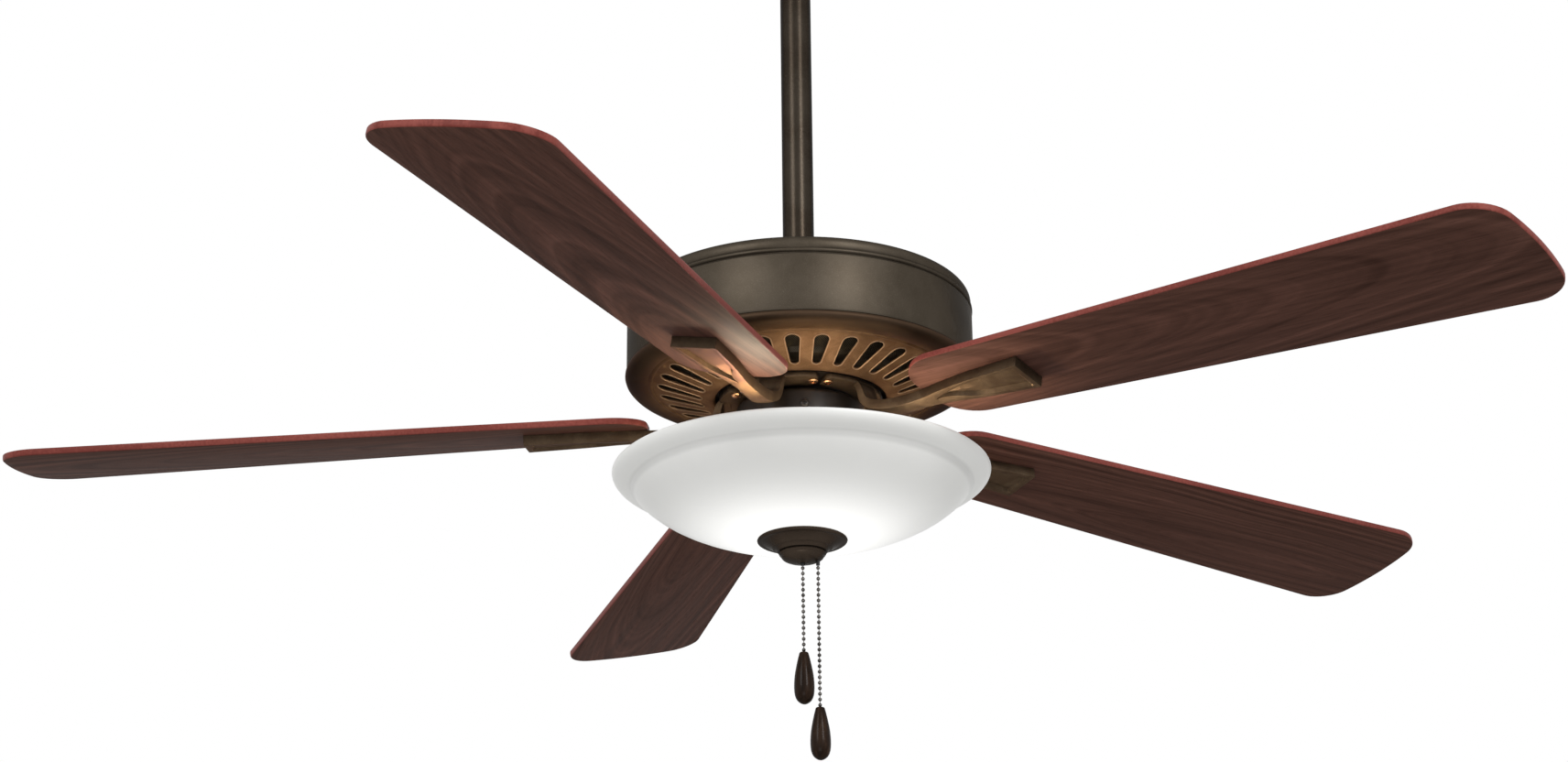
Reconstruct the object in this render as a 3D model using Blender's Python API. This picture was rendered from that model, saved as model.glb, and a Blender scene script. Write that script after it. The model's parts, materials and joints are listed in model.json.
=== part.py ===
# A five-blade ceiling fan with a bowl light and two pull chains, as separate pieces.
# Metres, +Z up. The origin is the middle of the hanger bracket's top face, on the ceiling.
import math

import bmesh
import bpy
from mathutils import Matrix

GAP = 0.0003  # clearance between pieces that touch
FULL_TURN = 2 * math.pi

# Hanger: bracket, ball, downrod and canopy
ROD_LENGTH = 0.457
ROD_RADIUS = 0.01335
ROD_WALL = 0.0024
BALL_RADIUS = 0.025
BALL_DROP = 0.043  # ball centre below the ceiling
ROD_ABOVE_BALL = 0.012  # rod end above the ball's centre
PIN_RADIUS = 0.003
BRACKET_WIDTH = 0.038
BRACKET_THICKNESS = 0.003
BRACKET_SCREW_SPACING = 0.0889
BRACKET_SCREW_RADIUS = 0.0026
SOCKET_WALL = 0.004
SOCKET_MOUTH = 0.0215
CANOPY_RADIUS = 0.066
CANOPY_DEPTH = 0.066
CANOPY_WALL = 0.0012
CANOPY_MOUTH = 0.028

# Fan: heights are above the blade level, the blades' underside 0.4 m from the axis
ROD_END_HEIGHT = 0.137
CROWN_HEIGHT = 0.130
COUPLING_HEIGHT = 0.172
COVER_RADIUS = 0.0385
HOUSING_RADIUS = 0.1455
HOUSING_WALL = 0.0014
HOUSING_SHOULDER = 0.1204
HOUSING_BOTTOM = 0.057
VENT_STEP_RADIUS = 0.1246
VENT_INNER_RADIUS = 0.0735
VENT_INNER_HEIGHT = 0.0335
VENT_STEP_HEIGHT = 0.047
VENT_WALL = 0.0015
VENT_SLOTS = 30
SLOT_INNER_RADIUS = 0.082
SLOT_OUTER_RADIUS = 0.1195
SLOT_INNER_WIDTH = 0.008
SLOT_OUTER_WIDTH = 0.013
MESH_THICKNESS = 0.0008

# Motor
SHAFT_RADIUS = 0.008
SHAFT_BORE = 0.0048
SHAFT_NECK_RADIUS = SHAFT_RADIUS + 0.0015
COLLAR_RADIUS = 0.020
COLLAR_THICKNESS = 0.005
ROTOR_RADIUS = 0.092
ROTOR_WALL = 0.002
ROTOR_TOP = 0.105
ROTOR_BOTTOM = 0.0345
ROTOR_SPLIT = 0.0752
BEARING_RADIUS = 0.0175
BEARING_WIDTH = 0.007
AIR_GAP = 0.0006
CORE_RADIUS = 0.060
CORE_LOW, CORE_HIGH = 0.062, 0.088

# Blades and blade irons
BLADES = 5
FIRST_BLADE_ANGLE = math.radians(34.0)
BLADE_TIP_RADIUS = 0.6604
BLADE_ROOT_RADIUS = 0.127
BLADE_HALF_WIDTH = 0.0510
BLADE_HALF_WIDTH_AT = 0.25
BLADE_SPREAD = 0.0445  # growth of the half width along the blade
BLADE_THICKNESS = 0.0055
BLADE_PITCH = math.radians(10.7)
BLADE_DROOP = math.radians(2.2)
BLADE_LEVEL_RADIUS = 0.4
ROOT_CORNER = 0.034
TIP_CORNER = 0.027
TIP_ARC = 0.287
FOOT_INNER_RADIUS = 0.047
FOOT_OUTER_RADIUS = 0.068
FOOT_THICKNESS = 0.0042
FOOT_HALF_ANGLE = math.radians(33.5)
SCREW_CIRCLE = 0.060
SCREW_ANGLE = math.radians(30)
SCREW_RADIUS = 0.0021
SCREW_HEAD_RADIUS = 0.0042
SCREW_HEAD_HEIGHT = 0.0022
PAD_THICKNESS = 0.0085
PAD_START_RADIUS = 0.146
PAD_END_RADIUS = 0.230

# Switch housing and light
CUP_RADIUS = 0.054
CUP_WALL = 0.0014
CUP_TOP = 0.0265
PAN_HEIGHT = -0.025
PAN_WALL = 0.0015
PAN_RADIUS = 0.076
PAN_LIP = 0.0027  # how far its edge turns down
BOWL_RADIUS = 0.157
BOWL_RIM = -0.031
BOWL_WAIST_RADIUS = 0.141
BOWL_WAIST = -0.0425
BOWL_BOTTOM = -0.0895
BOWL_WALL = 0.003
BOWL_CURVE_RADIUS = 0.150
BOWL_CURVE_DEPTH = 0.070
TUBE_RADIUS = 0.0165
TUBE_WALL = 0.0017
FLANGE_RADIUS = TUBE_RADIUS + 0.005
FINIAL_RADIUS = 0.037
KNOB_RADIUS = TUBE_RADIUS + 0.0025
KNOB_TOP = -0.0988
KNOB_BOTTOM = -0.108

# Pull chains
BEAD_RADIUS = 0.0016
CHAIN_LINK_DROP = 0.002  # the inner run's end below the knob
CHAIN_JOINT_GAP = 0.0006  # lets the free run swing under the inner run
FAN_CHAIN = {"x": 0.0, "end": -0.183}
LIGHT_CHAIN = {"x": 0.0125, "end": -0.229}
FOB_LENGTH = 0.0432
FOB_RADIUS = 0.0083
FOB_TOP_RADIUS = 0.0039
CHAIN_HOLE_RADIUS = 0.0021
PULL_TRAVEL = 0.007

FINE, MEDIUM, COARSE = 36, 24, 12  # sides of large, middling and small round pieces

BLADE_LEVEL = -(BALL_DROP - ROD_ABOVE_BALL) - ROD_LENGTH - ROD_END_HEIGHT
BRACKET_HALF_LENGTH = math.sqrt((CANOPY_RADIUS - CANOPY_WALL - 2 * GAP) ** 2 - (BRACKET_WIDTH / 2) ** 2)


# ---- making pieces

def material(name, colour, roughness, metallic):
    made = bpy.data.materials.new(name)
    made.use_nodes = True
    shader = made.node_tree.nodes["Principled BSDF"]
    shader.inputs["Base Color"].default_value = (*colour, 1)
    shader.inputs["Roughness"].default_value = roughness
    shader.inputs["Metallic"].default_value = metallic
    return made


def add_object(name, mesh, parent, finish, smooth=False):
    """One object in the scene, with its material."""
    made = bpy.data.objects.new(name, mesh)
    bpy.context.scene.collection.objects.link(made)
    made.parent = parent
    if finish:
        mesh.materials.append(finish)
    if smooth:
        mesh.shade_smooth()
        mesh.set_sharp_from_angle(angle=math.radians(35))
    return made


def mesh_from(bm, name):
    bmesh.ops.remove_doubles(bm, verts=bm.verts, dist=1e-6)
    bmesh.ops.recalc_face_normals(bm, faces=bm.faces)
    mesh = bpy.data.meshes.new(name)
    bm.to_mesh(mesh)
    bm.free()
    return mesh


def turned_mesh(name, profile, steps):
    """A closed outline of (radius, height) points turned about Z."""
    bm = bmesh.new()
    points = [bm.verts.new((radius, 0, height)) for radius, height in profile]
    edges = [bm.edges.new(pair) for pair in zip(points, points[1:] + points[:1])
             if pair[0].co.x + pair[1].co.x > 1e-9]
    bmesh.ops.spin(bm, geom=points + edges, cent=(0, 0, 0), axis=(0, 0, 1),
                   angle=FULL_TURN, steps=steps, use_merge=True)
    return mesh_from(bm, name)


def turned(name, profile, parent, finish, steps=MEDIUM):
    return add_object(name, turned_mesh(name, profile, steps), parent, finish, smooth=True)


def ring(name, inner, outer, low, high, parent, finish, steps=MEDIUM):
    outline = [(inner, low), (outer, low), (outer, high), (inner, high)]
    return turned(name, outline, parent, finish, steps)


def prism_mesh(name, outline, low, high):
    """A flat outline of (x, y) points raised from low to high."""
    bm = bmesh.new()
    base = bm.faces.new([bm.verts.new((x, y, low)) for x, y in outline])
    raised = bmesh.ops.extrude_face_region(bm, geom=[base])["geom"]
    top = [item for item in raised if isinstance(item, bmesh.types.BMVert)]
    bmesh.ops.translate(bm, verts=top, vec=(0, 0, high - low))
    return mesh_from(bm, name)


def prism(name, outline, low, high, parent, finish):
    return add_object(name, prism_mesh(name, outline, low, high), parent, finish)


def rectangle(x0, x1, y0, y1):
    return [(x0, y0), (x1, y0), (x1, y1), (x0, y1)]


def block(name, xs, ys, zs, parent, finish, bevel=0.0):
    made = prism(name, rectangle(*xs, *ys), *zs, parent, finish)
    if bevel:
        edge = made.modifiers.new("rounded_edges", "BEVEL")
        edge.width = bevel
        edge.segments = 1
    return made


def rod_mesh(bm, radius, low, high, steps=COARSE, place=None):
    """Adds a solid rod along Z, from low to high, to bm."""
    shift = Matrix.Translation((0, 0, (low + high) / 2))
    bmesh.ops.create_cone(bm, cap_ends=True, segments=steps, radius1=radius, radius2=radius,
                          depth=high - low, matrix=(place or Matrix()) @ shift)


def cutter(name, rods, parent):
    """Rods as one hidden tool; each is (radius, low, high, placing matrix)."""
    bm = bmesh.new()
    for radius, low, high, place in rods:
        rod_mesh(bm, radius, low, high, COARSE, place)
    return hide(add_object(name, mesh_from(bm, name), parent, None))


def hide(tool):
    tool.hide_render = True
    tool.display_type = "WIRE"
    return tool


def combine(piece, tool, operation="DIFFERENCE"):
    change = piece.modifiers.new(tool.name, "BOOLEAN")
    change.operation = operation
    change.object = tool


def arc(centre_radius, centre_height, radius, start, end, steps):
    """Points on an arc, angles in degrees from the outward direction towards up."""
    angles = [math.radians(start + (end - start) * i / steps) for i in range(steps + 1)]
    return [(centre_radius + radius * math.cos(a), centre_height + radius * math.sin(a))
            for a in angles]


def frame(name, place, parent=None):
    """An empty that carries the pieces of one body."""
    made = bpy.data.objects.new(name, None)
    bpy.context.scene.collection.objects.link(made)
    made.parent = parent
    made.location = place
    return made


def round_bar(name, stages, parent, finish):
    """A solid bar on Z, as (radius, low, high) stages, wide end first."""
    (wide, start, shoulder), *rest = stages
    outline = [(0, start), (wide, start), (wide, shoulder)]
    if rest:
        narrow, low, high = rest[0]
        if high > shoulder:
            outline += [(narrow, shoulder), (narrow, high), (0, high)]
        else:
            outline = [(0, low), (narrow, low), (narrow, start), (wide, start), (wide, shoulder),
                       (0, shoulder)]
    else:
        outline.append((0, shoulder))
    return turned(name, outline, parent, finish, COARSE)


along_y = Matrix.Rotation(math.pi / 2, 4, "X")


# ---- hanger

def make_ceiling_bracket(ceiling, steel):
    bracket = block("ceiling_bracket", (-BRACKET_HALF_LENGTH, BRACKET_HALF_LENGTH),
                    (-BRACKET_WIDTH / 2, BRACKET_WIDTH / 2), (-BRACKET_THICKNESS, 0), ceiling, steel)
    seat_low = math.sqrt((BALL_RADIUS + GAP) ** 2 - SOCKET_MOUTH ** 2)
    outer = BALL_RADIUS + GAP + SOCKET_WALL
    first = math.degrees(math.atan2(-seat_low, SOCKET_MOUTH))
    seat = arc(0, -BALL_DROP, BALL_RADIUS + GAP, first, -8, 5)
    top = seat[-1][1]
    socket = turned("socket_shape", seat + [(outer, top), (outer, seat[0][1])], ceiling, None)
    combine(bracket, hide(socket), "UNION")
    for side, label in ((-1, "left"), (1, "right")):
        xs = sorted((side * (outer - 0.0015), side * (outer + 0.003)))
        leg = block(f"{label}_leg_shape", xs, (-0.012, 0.012), (seat[0][1], -0.001), ceiling, None)
        combine(bracket, hide(leg), "UNION")
    places = [Matrix.Translation((side * BRACKET_SCREW_SPACING / 2, 0, 0)) for side in (-1, 1)]
    holes = [(BRACKET_SCREW_RADIUS, -0.01, 0.01, place) for place in places]
    combine(bracket, cutter("bracket_screw_holes", holes, ceiling))


def make_canopy(ceiling, bronze):
    bottom = -CANOPY_DEPTH - 0.0005
    corner = 0.026
    outside = arc(CANOPY_RADIUS - corner, bottom + corner, corner, 0, -90, 4)
    inside = arc(CANOPY_RADIUS - corner, bottom + corner, corner - CANOPY_WALL, -90, 0, 4)
    outline = [(CANOPY_RADIUS, -0.0005), *outside, (CANOPY_MOUTH, bottom),
               (CANOPY_MOUTH, bottom + CANOPY_WALL), *inside, (CANOPY_RADIUS - CANOPY_WALL, -0.0005)]
    turned("canopy", outline, ceiling, bronze)


def make_downrod(pivot, bronze, steel, plastic):
    """The rod, its ball and the two cross pins. The pivot is the ball's centre."""
    top, bottom = ROD_ABOVE_BALL, ROD_ABOVE_BALL - ROD_LENGTH
    rod = ring("downrod", ROD_RADIUS - ROD_WALL, ROD_RADIUS, bottom, top, pivot, bronze)
    bore = ROD_RADIUS + GAP
    half = math.degrees(math.acos(bore / BALL_RADIUS))
    ball = turned("hanger_ball", arc(0, 0, BALL_RADIUS, -half, half, 10), pivot, plastic)
    pin_height = 0.006
    pin_half = math.sqrt(BALL_RADIUS ** 2 - pin_height ** 2) - 0.0015
    place = Matrix.Translation((0, 0, pin_height)) @ along_y
    hole = cutter("hanger_pin_hole", [(PIN_RADIUS + GAP, -0.03, 0.03, place)], pivot)
    combine(rod, hole)
    combine(ball, hole)
    pin = round_bar("hanger_pin", [(PIN_RADIUS, -pin_half, pin_half)], pivot, steel)
    pin.matrix_local = place
    return rod


def make_coupling(hub, rod, bronze, steel):
    """The coupling joins the rod to the motor shaft, under its cover."""
    step = ROD_END_HEIGHT - 0.0005
    low = CROWN_HEIGHT + GAP
    body, flange = ROD_RADIUS + 0.0067, ROD_RADIUS + 0.0167
    neck, socket = SHAFT_NECK_RADIUS + GAP, ROD_RADIUS + GAP
    outline = [(neck, low), (flange, low), (flange, low + 0.0037), (body, low + 0.0037),
               (body, COUPLING_HEIGHT), (socket, COUPLING_HEIGHT), (socket, step), (neck, step)]
    coupling = turned("motor_coupling", outline, hub, steel)
    place = Matrix.Translation((0, 0, (ROD_END_HEIGHT + COUPLING_HEIGHT) / 2)) @ along_y
    hole = cutter("coupling_pin_hole", [(PIN_RADIUS + GAP, -0.03, 0.03, place)], hub)
    combine(coupling, hole)
    combine(rod, hole)
    head = body + GAP
    pin = round_bar("coupling_pin", [(PIN_RADIUS * 1.7, head, head + 0.003),
                                     (PIN_RADIUS, -body - 0.003, head + 0.001)], hub, steel)
    pin.matrix_local = place
    wall = 0.0012
    top = COUPLING_HEIGHT + 0.003
    neck = ROD_RADIUS + 0.0005
    outside = [(COVER_RADIUS, low), (COVER_RADIUS - 0.0015, low + 0.012), (COVER_RADIUS - 0.0070, low + 0.027),
               (body + 0.0035, top - 0.0060), (body + 0.0018, top - 0.0016), (body - 0.0010, top)]
    inside = [(body - 0.0016, top - wall), (body + 0.0006, top - 0.0022), (body + 0.0022, top - 0.0066),
              (COVER_RADIUS - 0.0070 - wall, low + 0.0265), (COVER_RADIUS - 0.0015 - wall, low + 0.012),
              (COVER_RADIUS - wall, low)]
    cover = outside + [(neck, top), (neck, top - wall)] + inside
    turned("coupling_cover", cover, hub, bronze)


# ---- housing and motor

def make_housing(hub, bronze):
    outer, inner = HOUSING_RADIUS, HOUSING_RADIUS - HOUSING_WALL
    hole = SHAFT_NECK_RADIUS + 0.003
    wall = HOUSING_WALL
    crown_edge = COVER_RADIUS + 0.004
    bead = arc(outer - 0.0035, HOUSING_SHOULDER - 0.0050, 0.0042, 75, -55, 5)
    outline = [(hole, CROWN_HEIGHT), (crown_edge, CROWN_HEIGHT), (outer - 0.020, HOUSING_SHOULDER + 0.003),
               *bead, (outer, HOUSING_SHOULDER - 0.012), (outer, HOUSING_BOTTOM),
               (inner, HOUSING_BOTTOM), (inner, HOUSING_SHOULDER - 0.006),
               (inner - 0.004, HOUSING_SHOULDER - 0.002), (outer - 0.020, HOUSING_SHOULDER + 0.003 - wall),
               (crown_edge, CROWN_HEIGHT - wall), (hole, CROWN_HEIGHT - wall)]
    turned("motor_housing", outline, hub, bronze, FINE)


def vent_height(radius):
    """Height of the vent plate's underside, a shallow cone between its inner rim and its step."""
    share = (radius - VENT_INNER_RADIUS) / (VENT_STEP_RADIUS - VENT_INNER_RADIUS)
    return VENT_INNER_HEIGHT + share * (VENT_STEP_HEIGHT - VENT_INNER_HEIGHT)


def make_vent(hub, copper, dark):
    """The slotted lower ring, and the mesh that lies on it behind the slots."""
    wall = VENT_WALL
    edge = HOUSING_RADIUS + 0.0012
    top = HOUSING_BOTTOM - GAP
    skirt = HOUSING_RADIUS - HOUSING_WALL - GAP
    inner_low = (VENT_INNER_RADIUS, VENT_INNER_HEIGHT)
    roll = VENT_INNER_RADIUS - 0.0015
    step, rise = VENT_STEP_RADIUS, VENT_STEP_HEIGHT
    outline = [inner_low, (step, rise), (step + 0.003, rise + 0.0016), (edge - 0.007, top - 0.0085),
               (edge - 0.002, top - 0.0055), (edge, top - 0.0020), (edge - 0.0005, top),
               (skirt, top), (skirt, top + 0.008), (skirt - wall, top + 0.008), (skirt - wall, top - 0.0030),
               (edge - 0.0085, top - 0.0062), (step + 0.002, rise + 0.0034),
               (step - 0.001, rise + wall), (VENT_INNER_RADIUS + 0.0003, VENT_INNER_HEIGHT + wall),
               (roll, VENT_INNER_HEIGHT + 0.0028), (roll - 0.0008, VENT_INNER_HEIGHT + 0.0012)]
    plate = turned("vent_plate", outline, hub, copper, FINE)
    wedge = [(SLOT_INNER_RADIUS, -SLOT_INNER_WIDTH / 2), (SLOT_OUTER_RADIUS, -SLOT_OUTER_WIDTH / 2),
             (SLOT_OUTER_RADIUS, SLOT_OUTER_WIDTH / 2), (SLOT_INNER_RADIUS, SLOT_INNER_WIDTH / 2)]
    bm = bmesh.new()
    for slot in range(VENT_SLOTS):
        turn = Matrix.Rotation(FULL_TURN * (slot + 0.25) / VENT_SLOTS, 4, "Z")
        low = [bm.verts.new(turn @ Matrix.Translation((x, y, VENT_INNER_HEIGHT - 0.01)).translation)
               for x, y in wedge]
        high = [bm.verts.new((v.co.x, v.co.y, VENT_STEP_HEIGHT + 0.01)) for v in low]
        bm.faces.new(low)
        bm.faces.new(high)
        for i in range(4):
            bm.faces.new((low[i], low[i - 1], high[i - 1], high[i]))
    combine(plate, hide(add_object("vent_slots", mesh_from(bm, "vent_slots"), hub, None)))
    first, last = SLOT_INNER_RADIUS - 0.002, SLOT_OUTER_RADIUS + 0.0025
    lift = wall + 2 * GAP
    screen = [(first, vent_height(first) + lift), (last, vent_height(last) + lift),
              (last, vent_height(last) + lift + MESH_THICKNESS),
              (first, vent_height(first) + lift + MESH_THICKNESS)]
    turned("vent_mesh", screen, hub, dark, FINE)


def make_motor(hub, rotor, steel, copper_wire, dark, screw_holes):
    """Shaft, stator, bearings and the rotor's two shells with their ring."""
    collar_top = CROWN_HEIGHT - HOUSING_WALL - GAP
    shaft_low = CUP_TOP - 0.013
    shaft = [(SHAFT_BORE, shaft_low), (SHAFT_RADIUS, shaft_low), (SHAFT_RADIUS, collar_top - COLLAR_THICKNESS),
             (COLLAR_RADIUS, collar_top - COLLAR_THICKNESS), (COLLAR_RADIUS, collar_top),
             (SHAFT_NECK_RADIUS, collar_top), (SHAFT_NECK_RADIUS, ROD_END_HEIGHT - 0.0008),
             (SHAFT_BORE, ROD_END_HEIGHT - 0.0008)]
    turned("motor_shaft", shaft, hub, steel)
    bore = SHAFT_RADIUS + GAP
    ring("stator_core", bore, CORE_RADIUS, CORE_LOW, CORE_HIGH, hub, steel)
    coil_inner, coil_outer, coil = 0.026, CORE_RADIUS - 0.006, 0.0082
    ring("stator_coils_upper", coil_inner, coil_outer, CORE_HIGH + GAP, CORE_HIGH + coil, hub, copper_wire)
    ring("stator_coils_lower", coil_inner, coil_outer, CORE_LOW - coil, CORE_LOW - GAP, hub, copper_wire)
    out, wall = ROTOR_RADIUS, ROTOR_WALL
    pocket = BEARING_RADIUS + GAP
    boss = pocket + 0.0037
    hub_top = ROTOR_TOP + 0.003
    mouth = SHAFT_RADIUS + 0.0015
    lip = 0.0033
    upper = [(mouth, hub_top), (boss + 0.001, hub_top), (boss + 0.003, ROTOR_TOP), (out - 0.006, ROTOR_TOP),
             (out, ROTOR_TOP - 0.006), (out, ROTOR_SPLIT + GAP), (out - wall, ROTOR_SPLIT + GAP),
             (out - wall, ROTOR_TOP - 0.0068), (out - 0.0068, ROTOR_TOP - wall), (boss, ROTOR_TOP - wall),
             (boss, hub_top - lip - BEARING_WIDTH - GAP), (pocket, hub_top - lip - BEARING_WIDTH - GAP),
             (pocket, hub_top - lip), (mouth, hub_top - lip)]
    turned("rotor_upper_shell", upper, rotor, dark)
    face, step = FOOT_OUTER_RADIUS + 0.0005, ROTOR_BOTTOM + 0.009
    floor = ROTOR_BOTTOM + 0.0065
    lip_top = ROTOR_BOTTOM + 0.0017
    lower = [(mouth, ROTOR_BOTTOM), (face, ROTOR_BOTTOM), (face, step), (out - 0.0035, step),
             (out, step + 0.0035), (out, ROTOR_SPLIT), (out - wall, ROTOR_SPLIT), (out - wall, step + 0.0043),
             (out - 0.0043, step + wall), (face - 0.0025, step + wall), (face - 0.0025, floor), (boss, floor),
             (boss, lip_top + BEARING_WIDTH + 2 * GAP), (pocket, lip_top + BEARING_WIDTH + 2 * GAP),
             (pocket, lip_top), (mouth, lip_top)]
    shell = turned("rotor_lower_shell", lower, rotor, dark)
    combine(shell, screw_holes)
    ring("rotor_ring", CORE_RADIUS + AIR_GAP, out - wall - GAP, CORE_LOW - 0.002, CORE_HIGH + 0.002,
         rotor, steel)
    high = hub_top - lip - GAP
    ring("upper_bearing", bore, BEARING_RADIUS, high - BEARING_WIDTH, high, rotor, steel)
    low = lip_top + GAP
    ring("lower_bearing", bore, BEARING_RADIUS, low, low + BEARING_WIDTH, rotor, steel)


# ---- blades and irons

def blade_place(index):
    """Blade frame: X outwards, Y towards the next blade, with the pitch and the droop."""
    turn = Matrix.Rotation(FIRST_BLADE_ANGLE + FULL_TURN * index / BLADES, 4, "Z")
    level = Matrix.Translation((BLADE_LEVEL_RADIUS, 0, 0))
    back = Matrix.Translation((-BLADE_LEVEL_RADIUS, 0, 0))
    return turn @ level @ Matrix.Rotation(BLADE_DROOP, 4, "Y") @ Matrix.Rotation(-BLADE_PITCH, 4, "X") @ back


def half_width(radius):
    return BLADE_HALF_WIDTH + (radius - BLADE_HALF_WIDTH_AT) * BLADE_SPREAD


def blade_outline():
    """Half of the outline from root to tip, then its mirror image."""
    root = BLADE_ROOT_RADIUS + ROOT_CORNER
    edge = half_width(root)
    side = arc(root, edge - ROOT_CORNER, ROOT_CORNER, 180, 90, 6)
    tip_half = half_width(BLADE_TIP_RADIUS - TIP_CORNER) - TIP_CORNER
    tip_start = BLADE_TIP_RADIUS - tip_half ** 2 / (2 * TIP_ARC)
    lean = math.degrees(tip_half / TIP_ARC)
    side += arc(tip_start - TIP_CORNER, tip_half, TIP_CORNER, 90, lean, 6)
    side += [(BLADE_TIP_RADIUS - y * y / (2 * TIP_ARC), y) for y in (tip_half * 0.6, tip_half * 0.2)]
    return side + [(x, -y) for x, y in reversed(side)]


def make_blades(rotor, walnut):
    shared = prism_mesh("blade", blade_outline(), 0, BLADE_THICKNESS)
    for index in range(BLADES):
        blade = add_object(f"blade_{index + 1}", shared, rotor, None)
        blade.matrix_local = blade_place(index)
    shared.materials.append(walnut)


def sector(inner, outer, half_angle, steps):
    angles = [half_angle * (2 * i / steps - 1) for i in range(steps + 1)]
    near = [(inner * math.cos(a), inner * math.sin(a)) for a in angles]
    far = [(outer * math.cos(a), outer * math.sin(a)) for a in reversed(angles)]
    return near + far


def iron_sections():
    """Cross sections of the arm and pad: centre radius and height, slope, thickness, two sides, tilt."""
    foot = ROTOR_BOTTOM - GAP - FOOT_THICKNESS / 2
    droop = math.tan(BLADE_DROOP)

    def under_blade(radius):
        return (BLADE_LEVEL_RADIUS - radius) * droop - GAP - PAD_THICKNESS / 2

    start = PAD_START_RADIUS
    end = PAD_END_RADIUS
    return [
        (0.058, foot, 0, 0.0036, -0.011, 0.011, 0),
        (0.0655, foot - 0.0012, -40, 0.0044, -0.011, 0.011, 0),
        (0.0688, foot - 0.0075, -80, 0.0056, -0.0100, 0.0100, 0),
        (0.0712, foot - 0.0160, -58, 0.0066, -0.0090, 0.0090, 0),
        (0.0790, foot - 0.0222, -22, 0.0078, -0.0082, 0.0082, 0.2),
        (0.0980, under_blade(0.098) - 0.0015, -6, 0.0085, -0.0075, 0.0075, 0.5),
        (start - 0.018, under_blade(start - 0.018) - 0.0006, -4, PAD_THICKNESS, -0.0075, 0.0068, 0.85),
        (start + 0.004, under_blade(start + 0.004), None, PAD_THICKNESS, -0.0115, 0.0084, 1),
        (start + 0.030, under_blade(start + 0.030), None, PAD_THICKNESS, -0.0160, 0.0122, 1),
        (end - 0.020, under_blade(end - 0.020), None, PAD_THICKNESS, -0.0195, 0.0149, 1),
        (end, under_blade(end), None, PAD_THICKNESS, -0.0215, 0.0160, 1),
    ]


def iron_mesh():
    """The arm and pad, lofted through the cross sections."""
    bm = bmesh.new()
    rings = []
    for radius, height, slope, thickness, low_side, high_side, tilt in iron_sections():
        lean = -BLADE_DROOP if slope is None else math.radians(slope)
        pitch = BLADE_PITCH * tilt
        across = (0, math.cos(pitch), -math.sin(pitch))
        normal = (-math.sin(lean), math.sin(pitch) * math.cos(lean), math.cos(pitch) * math.cos(lean))
        corners = []
        for side, face in ((low_side, -0.5), (high_side, -0.5), (high_side, 0.5), (low_side, 0.5)):
            step = face * thickness
            corners.append(bm.verts.new((radius + normal[0] * step, across[1] * side + normal[1] * step,
                                         height + across[2] * side + normal[2] * step)))
        rings.append(corners)
    for first, second in zip(rings, rings[1:]):
        for i in range(4):
            bm.faces.new((first[i - 1], first[i], second[i], second[i - 1]))
    bm.faces.new(rings[0])
    bm.faces.new(rings[-1])
    return mesh_from(bm, "blade_iron")


def make_irons(rotor, copper, brass, screw_holes):
    arm = iron_mesh()
    arm.materials.append(copper)
    foot_top = ROTOR_BOTTOM - GAP
    outline = sector(FOOT_INNER_RADIUS, FOOT_OUTER_RADIUS, FOOT_HALF_ANGLE, 10)
    foot = prism_mesh("foot", outline, foot_top - FOOT_THICKNESS, foot_top)
    bottom = foot_top - FOOT_THICKNESS - GAP
    screw = [(SCREW_HEAD_RADIUS, bottom - SCREW_HEAD_HEIGHT, bottom),
             (SCREW_RADIUS, bottom - 0.001, ROTOR_BOTTOM + 0.006)]
    for index in range(BLADES):
        angle = FIRST_BLADE_ANGLE + FULL_TURN * index / BLADES
        turn = Matrix.Rotation(angle, 4, "Z")
        iron = add_object(f"blade_iron_{index + 1}", arm.copy(), rotor, None)
        sole = hide(add_object(f"foot_shape_{index + 1}", foot, rotor, None))
        for piece in (iron, sole):
            piece.matrix_local = turn
        combine(iron, sole, "UNION")
        combine(iron, screw_holes)
        for side, label in ((-1, "a"), (1, "b")):
            piece = round_bar(f"iron_screw_{index + 1}{label}", screw, rotor, brass)
            at = angle + side * SCREW_ANGLE
            piece.location = (SCREW_CIRCLE * math.cos(at), SCREW_CIRCLE * math.sin(at), 0)


def make_screw_holes(rotor):
    angles = [FIRST_BLADE_ANGLE + FULL_TURN * i / BLADES + side * SCREW_ANGLE
              for i in range(BLADES) for side in (-1, 1)]
    rods = [(SCREW_RADIUS + GAP, ROTOR_BOTTOM - 0.01, ROTOR_BOTTOM + 0.0075,
             Matrix.Translation((SCREW_CIRCLE * math.cos(a), SCREW_CIRCLE * math.sin(a), 0))) for a in angles]
    return cutter("iron_screw_holes", rods, rotor)


# ---- switch housing and light

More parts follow.
